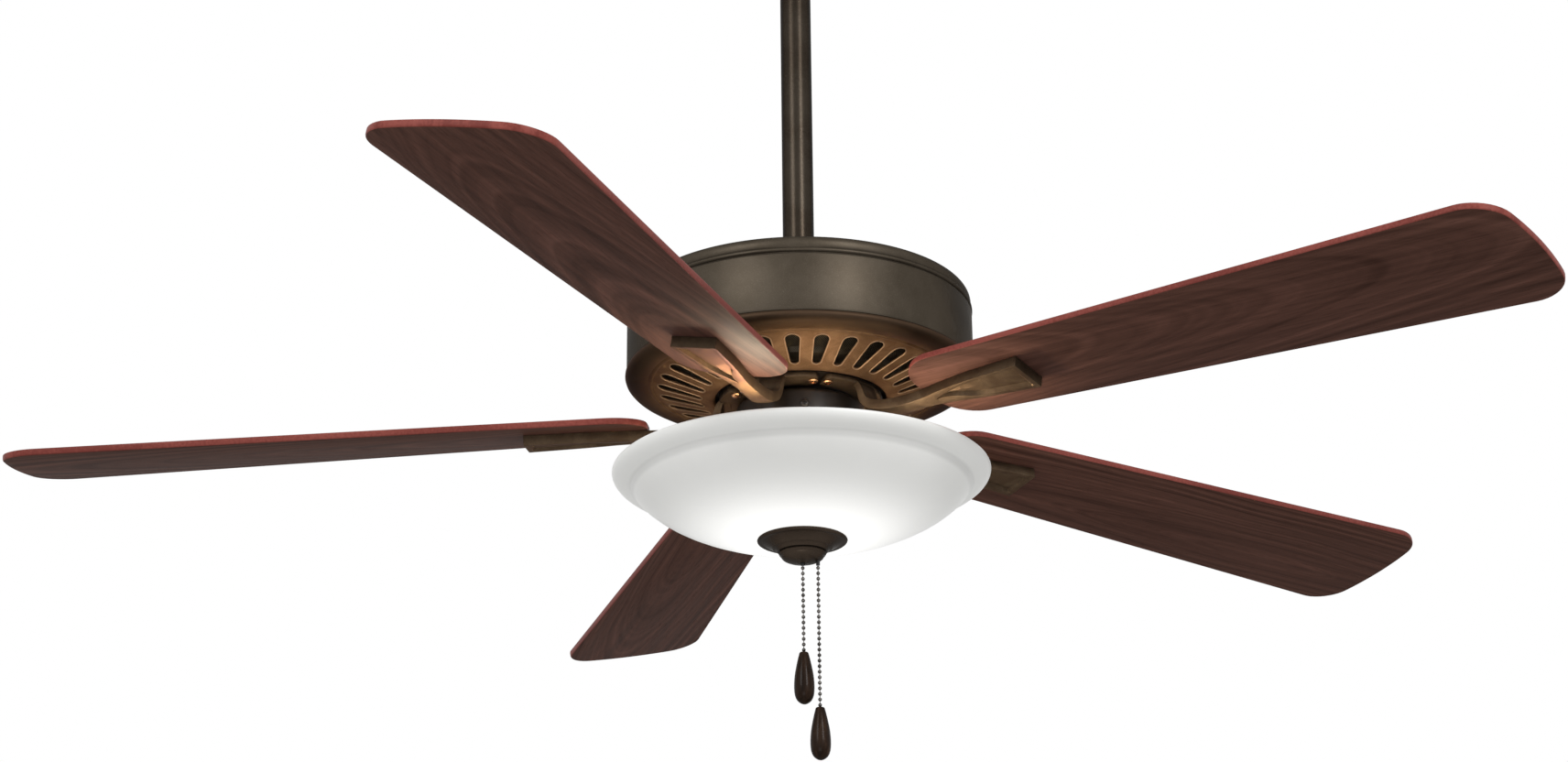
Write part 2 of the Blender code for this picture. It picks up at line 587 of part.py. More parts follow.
def make_switch_housing(hub, slider, dark, steel, plastic):
    """The cup under the motor, with the switches, the capacitor and the light's driver inside."""
    out, wall = CUP_RADIUS, CUP_WALL
    floor = PAN_HEIGHT + GAP
    hole = SHAFT_RADIUS + GAP
    cup = [(hole, CUP_TOP), (out - 0.004, CUP_TOP), (out, CUP_TOP - 0.004), (out, floor), (out - wall, floor),
           (out - wall, CUP_TOP - 0.0046), (out - 0.0046, CUP_TOP - wall), (hole, CUP_TOP - wall)]
    case = turned("switch_housing", cup, hub, dark)
    slot = block("reverse_slot", (-0.0075, 0.0075), (out - 0.006, out + 0.004), (-0.003, 0.003), hub, None)
    combine(case, hide(slot))
    nut_top = CUP_TOP - wall - GAP
    hexagon = [((hole + 0.005) * math.cos(a), (hole + 0.005) * math.sin(a))
               for a in (math.radians(60 * corner) for corner in range(6))]
    nut = prism("shaft_nut", hexagon, nut_top - 0.006, nut_top, hub, steel)
    bore = hole / math.cos(math.pi / COARSE)  # so that the cutter's flats clear the shaft
    combine(nut, cutter("shaft_nut_bore", [(bore, nut_top - 0.010, nut_top + 0.004, Matrix())], hub))
    near = FLANGE_RADIUS + 0.001
    block("fan_switch", (-near - 0.023, -near), (-0.010, 0.010), (floor, 0.010), hub, plastic, 0.001)
    block("light_switch", (near, near + 0.023), (-0.010, 0.010), (floor, 0.006), hub, plastic, 0.001)
    block("run_capacitor", (-0.017, 0.017), (-near - 0.021, -near), (floor, 0.001), hub, dark, 0.002)
    block("light_driver", (-0.017, 0.017), (near, near + 0.018), (floor, -0.006), hub, plastic, 0.001)
    stem = rectangle(-0.0035, 0.0035, -0.0055, 0.0025)
    prism("reverse_switch", stem, -0.0025, 0.0025, slider, plastic)


def make_light(hub, dark, steel, white, glass, rubber, bronze):
    """Pan, light board, centre tube, bowl and finial, from the top down."""
    bore = TUBE_RADIUS + GAP
    top = PAN_HEIGHT
    low = top - PAN_WALL
    edge = PAN_RADIUS
    rim_top = BOWL_RIM + 0.0022
    pan = [(bore, top), (edge - 0.003, top), (edge, top - 0.003), (edge, low - PAN_LIP),
           (edge - PAN_WALL, low - PAN_LIP), (edge - PAN_WALL, top - 0.0036), (edge - 0.0036, low), (bore, low)]
    turned("light_pan", pan, hub, dark)
    ring("light_board", TUBE_RADIUS + 0.0055, edge - 0.006, low - GAP - 0.0016, low - GAP, hub, white)
    flange_low = top + GAP
    finial_low = KNOB_TOP + GAP
    tube = [(TUBE_RADIUS - TUBE_WALL, finial_low), (TUBE_RADIUS, finial_low), (TUBE_RADIUS, flange_low),
            (FLANGE_RADIUS, flange_low), (FLANGE_RADIUS, flange_low + 0.002),
            (TUBE_RADIUS - TUBE_WALL, flange_low + 0.002)]
    turned("centre_tube", tube, hub, steel)

    def dome(radius, thickness=0.0):
        share = radius / (BOWL_CURVE_RADIUS - thickness)
        return BOWL_BOTTOM + thickness + BOWL_CURVE_DEPTH * (1 - math.sqrt(1 - share ** 2))

    waist = BOWL_WAIST_RADIUS
    stations = [waist - 0.002, 0.132, 0.116, 0.094, 0.066, FINIAL_RADIUS]
    inside = [waist - 0.0055, 0.124, 0.104, 0.080, 0.050]
    mouth = TUBE_RADIUS + 0.0007
    wall = BOWL_WALL
    bowl = [(BOWL_RADIUS, BOWL_RIM), (BOWL_RADIUS - 0.0015, BOWL_RIM - 0.0040),
            (BOWL_RADIUS - 0.008, BOWL_RIM - 0.0080), (waist + 0.002, BOWL_WAIST + 0.0018),
            (waist, BOWL_WAIST)]
    bowl += [(r, dome(r)) for r in stations] + [(mouth, dome(mouth)), (mouth, dome(mouth, wall))]
    bowl += [(r, dome(r, wall)) for r in reversed(inside)]
    bowl += [(waist - wall, BOWL_WAIST + 0.001), (BOWL_RADIUS - 0.010, BOWL_RIM - 0.0040),
             (BOWL_RADIUS - 0.0045, BOWL_RIM - 0.0015), (BOWL_RADIUS - 0.0045, rim_top - 0.001),
             (BOWL_RADIUS - 0.003, rim_top), (BOWL_RADIUS - 0.001, rim_top - 0.0006)]
    turned("glass_bowl", bowl, hub, glass, FINE)
    washer_top = dome(mouth) - GAP
    ring("bowl_washer", mouth, 0.030, washer_top - 0.0012, washer_top, hub, rubber)
    seat = washer_top - 0.0012 - GAP
    knob = KNOB_RADIUS
    cap = [(bore, seat), (0.0305, seat), (0.0320, dome(0.032) - GAP - 0.0002),
           (FINIAL_RADIUS, dome(FINIAL_RADIUS) - GAP), (FINIAL_RADIUS + 0.0004, dome(FINIAL_RADIUS) - 0.002),
           (FINIAL_RADIUS - 0.002, dome(FINIAL_RADIUS) - 0.0034), (knob + 0.006, KNOB_TOP + 0.0028),
           (knob + 0.001, KNOB_TOP + GAP), (bore, KNOB_TOP + GAP)]
    turned("finial_cap", cap, hub, bronze)
    height = KNOB_TOP - KNOB_BOTTOM
    outline = [(0, KNOB_TOP), (knob, KNOB_TOP), (knob + 0.0006, KNOB_TOP - 0.0012),
               (knob - 0.0014, KNOB_TOP - 0.0028),
               *[(knob * 0.90 * math.cos(a), KNOB_TOP - 0.0035 - (height - 0.0035) * math.sin(a))
                 for a in (math.radians(d) for d in (5, 25, 45, 62, 76))], (0, KNOB_BOTTOM)]
    finial = turned("finial_knob", outline, hub, bronze)
    rods = [(CHAIN_HOLE_RADIUS, KNOB_BOTTOM - 0.005, KNOB_TOP + 0.005, Matrix.Translation((run["x"], 0, 0)))
            for run in (FAN_CHAIN, LIGHT_CHAIN)]
    combine(finial, cutter("chain_holes", rods, hub))


# ---- pull chains

def make_pull(name, run, hub, chain_metal, wood, plastic):
    """A switch's link with the hidden run of chain, then the free run and its fob."""
    x = run["x"]
    outlet = KNOB_BOTTOM - CHAIN_LINK_DROP
    pull = frame(f"{name}_pull_axis", (x, 0, outlet), hub)
    near = FLANGE_RADIUS + 0.001 - GAP
    start = -near if x == 0 else near
    xs = sorted((start - x, 0.0025 if x == 0 else -0.0022))
    link_low, link_high = -0.006 - outlet, -0.003 - outlet
    link = block(f"{name}_switch_link", xs, (-0.002, 0.002), (link_low, link_high), pull, plastic)
    bm = bmesh.new()
    rod_mesh(bm, BEAD_RADIUS, 0, link_low + 0.001, 8)
    hidden_run = hide(add_object(f"{name}_hidden_chain", mesh_from(bm, name), pull, None))
    combine(link, hidden_run, "UNION")
    swing = frame(f"{name}_chain_pivot", (0, 0, 0), pull)
    length = outlet - CHAIN_JOINT_GAP - run["end"]
    make_chain(f"{name}_chain", length, swing, chain_metal)
    make_fob(f"{name}_fob", -CHAIN_JOINT_GAP - length - GAP, swing, wood)


def make_chain(name, length, parent, finish):
    """A straight hanging run, as a plain tube."""
    curve = bpy.data.curves.new(name, "CURVE")
    curve.dimensions = "3D"
    curve.bevel_depth = BEAD_RADIUS
    curve.bevel_resolution = 2
    curve.use_fill_caps = True
    curve.materials.append(finish)
    count = max(2, round(length / (5 * BEAD_RADIUS)))
    line = curve.splines.new("POLY")
    line.points.add(count)
    for i, point in enumerate(line.points):
        point.co = (0, 0, -CHAIN_JOINT_GAP - length * i / count, 1)
    chain = bpy.data.objects.new(name, curve)
    bpy.context.scene.collection.objects.link(chain)
    chain.parent = parent


def make_fob(name, top, parent, finish):
    """A turned drop: a flat top, a slow swell and a round end."""
    stations = ((0, 0.90), (0.03, 1.0), (0.12, 1.12), (0.30, 1.48), (0.50, 1.88), (0.68, 2.10), (0.82, 2.06),
                (0.92, 1.72), (0.975, 1.05))
    scale = FOB_RADIUS / 2.12
    swell = (FOB_RADIUS - FOB_TOP_RADIUS) / (FOB_RADIUS - scale)
    outline = [(0, top)]
    for along, width in stations:
        radius = FOB_RADIUS - (FOB_RADIUS - width * scale) * (swell if along < 0.68 else 1)
        outline.append((radius, top - along * FOB_LENGTH))
    outline.append((0, top - FOB_LENGTH))
    turned(name, outline, parent, finish, 20)


def main():
    for old in list(bpy.data.objects):
        bpy.data.objects.remove(old)
    bronze = material("aged_bronze", (0.075, 0.058, 0.043), 0.42, 0.75)
    copper = material("burnished_copper", (0.24, 0.12, 0.06), 0.35, 0.85)
    dark = material("dark_enamel", (0.03, 0.024, 0.02), 0.4, 0.4)
    walnut = material("walnut", (0.075, 0.034, 0.022), 0.45, 0)
    glass = material("frosted_glass", (0.85, 0.85, 0.84), 0.35, 0)
    steel = material("steel", (0.5, 0.5, 0.5), 0.35, 1)
    brass = material("brass", (0.6, 0.33, 0.16), 0.25, 1)
    wire = material("enamelled_copper", (0.45, 0.16, 0.06), 0.35, 0.8)
    plastic = material("moulded_plastic", (0.08, 0.08, 0.08), 0.5, 0)
    white = material("white_board", (0.8, 0.8, 0.78), 0.5, 0)
    rubber = material("rubber", (0.03, 0.03, 0.03), 0.8, 0)
    chain_metal = material("blackened_chain", (0.09, 0.085, 0.08), 0.3, 1)
    wood = material("stained_wood", (0.02, 0.012, 0.008), 0.3, 0)

    ceiling = frame("ceiling", (0, 0, 0))
    pivot = frame("hanger_pivot", (0, 0, -BALL_DROP))
    hub = frame("hub", (0, 0, BLADE_LEVEL + BALL_DROP), pivot)
    rotor = frame("rotor_axis", (0, 0, 0), hub)
    slider = frame("reverse_slide_axis", (-0.003, CUP_RADIUS, 0), hub)

    make_ceiling_bracket(ceiling, steel)
    make_canopy(ceiling, bronze)
    rod = make_downrod(pivot, bronze, steel, plastic)
    make_coupling(hub, rod, bronze, steel)
    make_housing(hub, bronze)
    make_vent(hub, copper, dark)
    screw_holes = make_screw_holes(rotor)
    make_motor(hub, rotor, steel, wire, dark, screw_holes)
    make_irons(rotor, copper, brass, screw_holes)
    make_blades(rotor, walnut)
    make_switch_housing(hub, slider, dark, steel, plastic)
    make_light(hub, dark, steel, white, glass, rubber, bronze)
    make_pull("fan", FAN_CHAIN, hub, chain_metal, wood, plastic)
    make_pull("light", LIGHT_CHAIN, hub, chain_metal, wood, plastic)


main()
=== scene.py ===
# A ceiling fan with a bowl light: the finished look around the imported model
import json
import math
import bpy
from mathutils import Matrix, Vector


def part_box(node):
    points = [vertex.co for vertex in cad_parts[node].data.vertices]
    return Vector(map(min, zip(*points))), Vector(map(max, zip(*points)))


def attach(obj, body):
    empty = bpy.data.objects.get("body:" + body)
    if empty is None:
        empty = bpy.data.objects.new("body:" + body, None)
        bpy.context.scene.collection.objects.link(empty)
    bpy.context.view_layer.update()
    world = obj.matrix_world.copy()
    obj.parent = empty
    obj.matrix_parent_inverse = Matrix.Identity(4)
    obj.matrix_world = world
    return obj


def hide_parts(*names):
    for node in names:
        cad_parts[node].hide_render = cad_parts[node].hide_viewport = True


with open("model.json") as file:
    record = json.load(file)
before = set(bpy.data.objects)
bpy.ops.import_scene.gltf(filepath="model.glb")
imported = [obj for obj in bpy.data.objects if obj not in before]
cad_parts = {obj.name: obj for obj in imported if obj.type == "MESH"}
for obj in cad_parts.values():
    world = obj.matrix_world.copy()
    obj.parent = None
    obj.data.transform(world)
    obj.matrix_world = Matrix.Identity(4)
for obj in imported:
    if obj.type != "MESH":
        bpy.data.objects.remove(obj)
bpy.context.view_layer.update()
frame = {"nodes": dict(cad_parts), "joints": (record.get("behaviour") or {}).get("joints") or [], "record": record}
fullTurn = 2 * math.pi
jointAt = {joint["name"]: joint.get("pos_m") for joint in frame["joints"]}
hubZ = jointAt["rotor_spin"][2]          # level of the blades' underside, 0.4 m out
chainTopZ = jointAt["fan_chain_swing"][2]
print("frame loaded, blade level", round(hubZ, 4))

cameraView = {"distance": 2.2678, "below": 0.8135, "tiltUp": 20.884, "roll": -0.756,
              "lens": 66.456, "shift": -0.0104}


def setCamera(v):
    bpy.ops.object.camera_add(location=(0, -v["distance"], hubZ - v["below"]))
    camera = bpy.context.object
    tilt, roll = math.radians(90 + v["tiltUp"]), math.radians(v["roll"])
    camera.rotation_euler = (Matrix.Rotation(tilt, 4, "X") @ Matrix.Rotation(roll, 4, "Z")).to_euler()
    camera.data.lens = v["lens"]
    camera.data.shift_x = v["shift"]
    bpy.context.scene.camera = camera


setCamera(cameraView)


class Wire:                              # a shader socket that takes part in sums
    def __init__(self, tree, socket):
        self.tree, self.socket = tree, socket

    def join(self, operation, other, flip=False):
        node = self.tree.nodes.new("ShaderNodeMath")
        node.operation = operation
        for slot, value in zip(node.inputs, (other, self) if flip else (self, other)):
            feed(self.tree, slot, value)
        return Wire(self.tree, node.outputs[0])

    def __add__(self, other): return self.join("ADD", other)
    def __radd__(self, other): return self.join("ADD", other, True)
    def __sub__(self, other): return self.join("SUBTRACT", other)
    def __rsub__(self, other): return self.join("SUBTRACT", other, True)
    def __mul__(self, other): return self.join("MULTIPLY", other)
    def __rmul__(self, other): return self.join("MULTIPLY", other, True)
    def __pow__(self, other): return self.join("POWER", other)


def feed(tree, slot, value):
    if isinstance(value, Wire):
        tree.links.new(value.socket, slot)
    elif value is not None:
        if isinstance(value, tuple) and len(value) == 3 and slot.type == "RGBA":
            value = (*value, 1)
        slot.default_value = value


class Finish:                            # one material being put together
    def __init__(self, name, **fixed):
        self.material = bpy.data.materials.new(name)
        self.material.use_nodes = True
        self.tree = self.material.node_tree
        self.shader = self.tree.nodes["Principled BSDF"]
        self.give(**fixed)

    def node(self, kind, settings=None, sockets=None, out=0):
        made = self.tree.nodes.new("ShaderNode" + kind)
        for name, value in (settings or {}).items():
            if name == "stops":
                while len(made.color_ramp.elements) < len(value):
                    made.color_ramp.elements.new(1.0)
                for element, (place, colour) in zip(made.color_ramp.elements, value):
                    element.position = place
                    element.color = (*colour, 1)
            else:
                setattr(made, name, value)
        for name, value in (sockets or {}).items():
            feed(self.tree, made.inputs[name], value)
        return Wire(self.tree, made.outputs[out])

    def place(self, scale=(1, 1, 1), source="Object"):
        spot = self.node("TexCoord", out=source)
        return self.node("Mapping", None, {"Vector": spot, "Scale": scale})

    def axis(self, vector, letter):
        return self.node("SeparateXYZ", None, {"Vector": vector}, out=letter)

    def noise(self, vector, scale, detail=2.0, rough=0.5, distort=0.0):
        return self.node("TexNoise", None, {"Vector": vector, "Scale": scale, "Detail": detail,
                                            "Roughness": rough, "Distortion": distort}, out="Fac")

    def ramp(self, value, *stops):
        return self.node("ValToRGB", {"stops": stops}, {"Fac": value})

    def rise(self, value, low, high):
        return self.node("MapRange", {"interpolation_type": "SMOOTHSTEP"},
                         {"Value": value, "From Min": low, "From Max": high})

    def blend(self, share, first, second, mode="MIX"):
        mix = self.tree.nodes.new("ShaderNodeMix")
        mix.data_type = "RGBA"
        mix.blend_type = mode
        for slot, value in ((0, share), (6, first), (7, second)):
            feed(self.tree, mix.inputs[slot], value)
        return Wire(self.tree, mix.outputs[2])

    def bump(self, height, strength, depth):
        return self.node("Bump", None, {"Height": height, "Strength": strength, "Distance": depth})

    def radius(self, spot):              # distance from the fan's axis
        x, y = self.axis(spot, "X"), self.axis(spot, "Y")
        return (x * x + y * y) ** 0.5

    def give(self, **links):
        for socket, value in links.items():
            feed(self.tree, self.shader.inputs[socket.replace("_", " ")], value)
        return self.material


sprayCoat = {"flakes": 2400, "flakeShare": 0.3, "blotches": 22, "glints": 3100, "peel": 800}


def sprayedMetal(name, dark, base, rough, metallic, glint):
    f = Finish(name, Metallic=metallic, Specular_Tint=(0.10, 0.09, 0.08), Specular_IOR_Level=0.12)
    spot = f.place()
    flakes = f.noise(spot, sprayCoat["flakes"], 1.0)
    blotch = f.noise(spot, sprayCoat["blotches"], 3.0, 0.6)
    share = sprayCoat["flakeShare"]
    colour = f.blend(f.rise(flakes * share + blotch * (1 - share), 0.36, 0.64), dark, base)
    glints = f.rise(f.noise(spot, sprayCoat["glints"], 0.0), 0.66, 0.80)
    colour = f.blend(glints * 0.5, colour, glint)
    peel = f.noise(spot, sprayCoat["peel"], 2.0)      # orange peel of the sprayed coat
    return f.give(Base_Color=colour, Roughness=rough + (flakes - 0.5) * 0.14 + (blotch - 0.5) * 0.10,
                  Normal=f.bump(peel + flakes * 0.5, 0.12, 0.0003))


# painted shade on the vent plate: the radii where its copper darkens, and the shade colours
plateShade = {"rim": (0.1180, 0.1400), "rimBrown": (0.040, 0.026, 0.017),
              "lip": (0.0700, 0.0790), "lipBrown": (0.075, 0.040, 0.022), "lipShare": 0.45}


def burnishedCopper(name, worn, bright, paintedShade=0.0):
    f = Finish(name, Metallic=0.75, Specular_Tint=(0.35, 0.25, 0.18), Specular_IOR_Level=0.2)
    spot = f.place()
    streak = f.noise(spot, 60, 5.0, 0.65, 0.6)
    flakes = f.noise(spot, 2200, 1.0)
    colour = f.blend(f.rise(streak * 0.7 + flakes * 0.3, 0.38, 0.66), worn, bright)
    if paintedShade:                          # painted shade, darker towards the plate's rolled edge and its inner lip
        away = f.radius(spot)
        colour = f.blend(f.rise(away, *plateShade["rim"]) * paintedShade, colour, plateShade["rimBrown"])
        inside = 1 - f.rise(away, *plateShade["lip"])
        colour = f.blend(inside * plateShade["lipShare"], colour, plateShade["lipBrown"])
    return f.give(Base_Color=colour, Roughness=0.53 + (streak - 0.5) * 0.25,
                  Normal=f.bump(f.noise(spot, 700, 2.0) + flakes * 0.5, 0.10, 0.0003))


def plainEnamel(name, dark, base, rough, coat=0.0, pebble=900):
    f = Finish(name, Coat_Weight=coat, Coat_Roughness=0.15, Specular_IOR_Level=0.25)
    spot = f.place()
    cloud = f.noise(spot, 35, 4.0, 0.6)
    colour = f.blend(f.rise(cloud, 0.35, 0.65), dark, base)
    return f.give(Base_Color=colour, Roughness=rough + (cloud - 0.5) * 0.18,
                  Normal=f.bump(f.noise(spot, pebble, 2.0), 0.15, 0.0003))


def bareMetal(name, dark, base, rough):
    f = Finish(name, Metallic=1.0)
    brushed = f.noise(f.place((1, 1, 40)), 90, 4.0, 0.6)
    tarnish = f.noise(f.place(), 45, 3.0)
    return f.give(Base_Color=f.blend(f.rise(tarnish, 0.35, 0.68), dark, base),
                  Roughness=rough + (brushed - 0.5) * 0.25, Normal=f.bump(brushed, 0.2, 0.0002))


def stackedSheets():                     # the motor's laminated core
    f = Finish("stackedSheets", Metallic=0.9)
    spot = f.place()
    layers = f.node("TexWave", {"bands_direction": "Z"},
                    {"Vector": spot, "Scale": 320.0, "Distortion": 0.2}, out="Fac")
    rust = f.noise(spot, 60, 3.0)
    colour = f.blend(f.rise(rust, 0.4, 0.7), (0.16, 0.15, 0.14), (0.26, 0.22, 0.19))
    return f.give(Base_Color=f.blend(layers * 0.5, colour, (0.05, 0.045, 0.04)), Roughness=0.4 + rust * 0.2,
                  Normal=f.bump(layers, 0.5, 0.0003))


def woundWire():
    f = Finish("woundWire", Metallic=0.6, Coat_Weight=0.4)
    spot = f.place()
    strands = f.node("TexWave", {"wave_type": "RINGS", "rings_direction": "Z"},
                     {"Vector": spot, "Scale": 260.0, "Distortion": 1.5, "Detail": 2.0}, out="Fac")
    colour = f.blend(strands, (0.16, 0.045, 0.018), (0.50, 0.20, 0.08))
    return f.give(Base_Color=colour, Roughness=0.3 + strands * 0.2, Normal=f.bump(strands, 0.7, 0.0005))


def walnutFace():
    f = Finish("walnutFace", Specular_IOR_Level=0.012)
    flat = f.place((1, 1, 1), "UV")
    along, across = f.axis(flat, "X"), f.axis(flat, "Y")
    wander = f.noise(f.place((2.2, 9, 1), "UV"), 1.0, 2.0)
    off = across + (wander - 0.5) * 0.035
    swirl = (off ** 2.0 + (along * 0.085) ** 2.0) ** 0.5      # cathedral arches down the blade
    arches = f.node("TexNoise", {"noise_dimensions": "1D"},
                    {"W": swirl, "Scale": 210.0, "Detail": 3.0, "Roughness": 0.6}, out="Fac")
    streaks = f.noise(f.place((3.0, 120, 1), "UV"), 1.0, 6.0, 0.62, 0.25)
    pores = f.rise(f.noise(f.place((42, 1500, 1), "UV"), 1.0, 1.0), 0.60, 0.72)
    cloud = f.noise(f.place((5, 16, 1), "UV"), 1.0, 3.0)
    grain = arches * 0.45 + streaks * 0.55
    colour = f.ramp(grain, (0.34, (0.036, 0.0160, 0.0115)), (0.47, (0.066, 0.0305, 0.0225)),
                    (0.56, (0.088, 0.0405, 0.0300)), (0.70, (0.132, 0.0610, 0.0460)))
    colour = f.blend(cloud * 0.35, colour, (0.056, 0.0260, 0.0190))
    colour = f.blend(pores * 0.6, colour, (0.028, 0.0130, 0.0095))
    return f.give(Base_Color=colour, Roughness=0.54 + (streaks - 0.5) * 0.20 + pores * 0.1,
                  Normal=f.bump(streaks * 0.6 - pores, 0.14, 0.0002))


def walnutEdge():
    f = Finish("walnutEdge", Specular_IOR_Level=0.05)
    spot = f.place()
    lines = f.noise(f.place((2.5, 90, 1), "UV"), 1.0, 4.0)
    speck = f.noise(spot, 500, 2.0)
    shade = f.rise(lines * 0.7 + speck * 0.3, 0.38, 0.62)
    return f.give(Base_Color=f.blend(shade, (0.130, 0.030, 0.024), (0.205, 0.054, 0.043)),
                  Roughness=0.42 + (speck - 0.5) * 0.2, Normal=f.bump(lines, 0.15, 0.0002))


# the bowl's emission is painted glow, standing in for the lamps' light coming through the glass
def frostedGlass(bowl):
    f = Finish("frostedGlass", Specular_IOR_Level=0.2, Emission_Strength=bowl["glow"])
    spot = f.place()
    away, height = f.radius(spot), f.axis(spot, "Z") - hubZ
    mist = f.noise(spot, 14, 3.0, 0.5)
    etch = f.noise(spot, 1400, 1.0)
    colour = f.blend(f.rise(mist, 0.3, 0.7), bowl["shade"], bowl["tone"])
    colour = f.blend(f.rise(height, *bowl["bandHeights"]) * 0.6, colour, bowl["rimTone"])
    # painted shade: the glass is darker in the groove below the rim band
    groove = f.rise(away, *bowl["grooveInside"]) * (1 - f.rise(away, *bowl["grooveOutside"]))
    groove = groove * (1 - f.rise(height, *bowl["grooveHeights"]))
    colour = f.blend(groove * 0.55, colour, bowl["grooveTone"])
    near = 1 - f.rise(away + (mist - 0.5) * 0.014, *bowl["glowReach"])      # painted glow, brightest nearest the lamps
    paintedGlow = f.blend(near, bowl["glowEdge"], bowl["glowMiddle"])
    return f.give(Base_Color=colour, Emission_Color=paintedGlow, Roughness=0.34 + (etch - 0.5) * 0.12,
                  Normal=f.bump(etch, 0.06, 0.0002))


def polishedWood():
    f = Finish("polishedWood", Coat_Weight=0.06, Coat_Roughness=0.12, Specular_IOR_Level=0.04)
    spot = f.place((60, 60, 9))
    grain = f.noise(spot, 4.0, 5.0, 0.6, 0.4)
    colour = f.ramp(grain, (0.35, (0.008, 0.0045, 0.0028)), (0.55, (0.018, 0.0095, 0.0055)),
                    (0.75, (0.038, 0.020, 0.011)))
    return f.give(Base_Color=colour, Roughness=0.30 + (grain - 0.5) * 0.15, Normal=f.bump(grain, 0.1, 0.0002))


def wireCloth():
    f = Finish("wireCloth", Metallic=0.8)
    spot = f.place()
    dust = f.noise(spot, 90, 3.0)
    colour = f.blend(f.rise(dust, 0.4, 0.7), (0.050, 0.040, 0.028), (0.120, 0.090, 0.055))
    return f.give(Base_Color=colour, Roughness=0.35 + dust * 0.2)


glassBowl = {
    "sides": 144, "edge": 0.157, "rim": -0.031, "bottom": -0.0895, "rise": 0.070, "domeRadius": 0.150,
    "glow": 0.75, "tone": (0.715, 0.715, 0.70), "shade": (0.675, 0.675, 0.66), "rimTone": (0.70, 0.70, 0.685),
    "grooveTone": (0.47, 0.47, 0.46), "bandHeights": (-0.0425, -0.0385), "grooveInside": (0.1370, 0.1400),
    "grooveOutside": (0.1408, 0.1440), "grooveHeights": (-0.0400, -0.0385), "glowReach": (0.022, 0.132),
    "glowEdge": (0.09, 0.09, 0.088), "glowMiddle": (1.0, 0.995, 0.98),
    "band": [(0, 0.0002), (-0.0002, -0.0010), (-0.0009, -0.0026), (-0.0024, -0.0045), (-0.0048, -0.0063),
             (-0.0078, -0.0079), (-0.0108, -0.0090), (-0.0135, -0.0098), (-0.0152, -0.0106),
             (-0.0161, -0.0116)],        # from the edge and the rim, down to the groove
    "outside": [0.1398, 0.1365, 0.132, 0.126, 0.119, 0.111, 0.102, 0.092, 0.081, 0.069, 0.056, 0.043, 0.030,
                0.0200, 0.0172],
    "inside": [0.0172, 0.030, 0.050, 0.070, 0.090, 0.108, 0.122, 0.131], "wall": 0.003,
    "innerBend": [(0.1378, -0.0415), (0.1435, -0.0375)],
    "lip": [(-0.0072, -0.0035), (-0.0048, -0.0012), (-0.0045, 0.0008), (-0.0040, 0.0018), (-0.0028, 0.0022),
            (-0.0012, 0.0018), (-0.0003, 0.0010)]}
finishes = {
    "bronze": sprayedMetal("agedBronze", (0.048, 0.0385, 0.028), (0.066, 0.054, 0.0405), 0.44, 0.70,
                           (0.15, 0.125, 0.10)),
    "finialBronze": sprayedMetal("finialBronze", (0.038, 0.027, 0.020), (0.058, 0.042, 0.031), 0.34, 0.6,
                                 (0.11, 0.08, 0.06)),
    "rodBronze": sprayedMetal("rodBronze", (0.024, 0.018, 0.013), (0.036, 0.029, 0.022), 0.28, 0.70,
                              (0.12, 0.10, 0.08)),
    # the last number is the share of painted shade towards the plate's rolled edge
    "copper_bronze": burnishedCopper("burnishedCopper", (0.120, 0.065, 0.034), (0.205, 0.120, 0.067), 0.9),
    "ironCopper": burnishedCopper("ironCopper", (0.066, 0.043, 0.027), (0.110, 0.076, 0.049)),
    # a lighter copy of the plate's copper for the slot rims: painted highlight
    "lipCopper": burnishedCopper("lipCopper", (0.260, 0.160, 0.095), (0.400, 0.260, 0.160)),
    "dark_enamel": plainEnamel("darkEnamel", (0.006, 0.0042, 0.0035), (0.013, 0.009, 0.0068), 0.40, 0.1),
    "walnut": walnutFace(),
    "walnutEdge": walnutEdge(),
    "frosted_glass": frostedGlass(glassBowl),
    "steel": bareMetal("zincSteel", (0.36, 0.36, 0.35), (0.55, 0.55, 0.54), 0.35),
    "iron_core": stackedSheets(),
    "copper_wire": woundWire(),
    "screw_brass": bareMetal("screwBrass", (0.42, 0.20, 0.09), (0.72, 0.42, 0.22), 0.24),
    "black_plastic": plainEnamel("blackPlastic", (0.016, 0.016, 0.017), (0.030, 0.030, 0.031), 0.48,
                                 pebble=1600),
    "capacitor_case": plainEnamel("capacitorCase", (0.020, 0.020, 0.024), (0.036, 0.036, 0.042), 0.30, 0.3),
    "board": plainEnamel("whiteBoard", (0.62, 0.62, 0.59), (0.78, 0.78, 0.75), 0.45, 0.1, 300),
    "rubber": plainEnamel("softRubber", (0.018, 0.018, 0.018), (0.032, 0.032, 0.031), 0.72, pebble=1200),
    "chain": bareMetal("blackenedChain", (0.060, 0.056, 0.052), (0.150, 0.140, 0.130), 0.26),
    "stained_wood": polishedWood(),
    "wireCloth": wireCloth(),
}
print("finishes mixed:", len(finishes))


def pickNothing():
    bpy.ops.object.select_all(action="DESELECT")


def pickOnly(piece):
    if bpy.context.mode != "OBJECT":
        bpy.ops.object.mode_set(mode="OBJECT")
    pickNothing()
    piece.select_set(True)
    bpy.context.view_layer.objects.active = piece


def openMesh(piece):
    pickOnly(piece)
    bpy.ops.object.mode_set(mode="EDIT")
    bpy.ops.mesh.select_mode(type="VERT")
    bpy.ops.mesh.select_all(action="SELECT")


def closeMesh():
    bpy.ops.object.mode_set(mode="OBJECT")


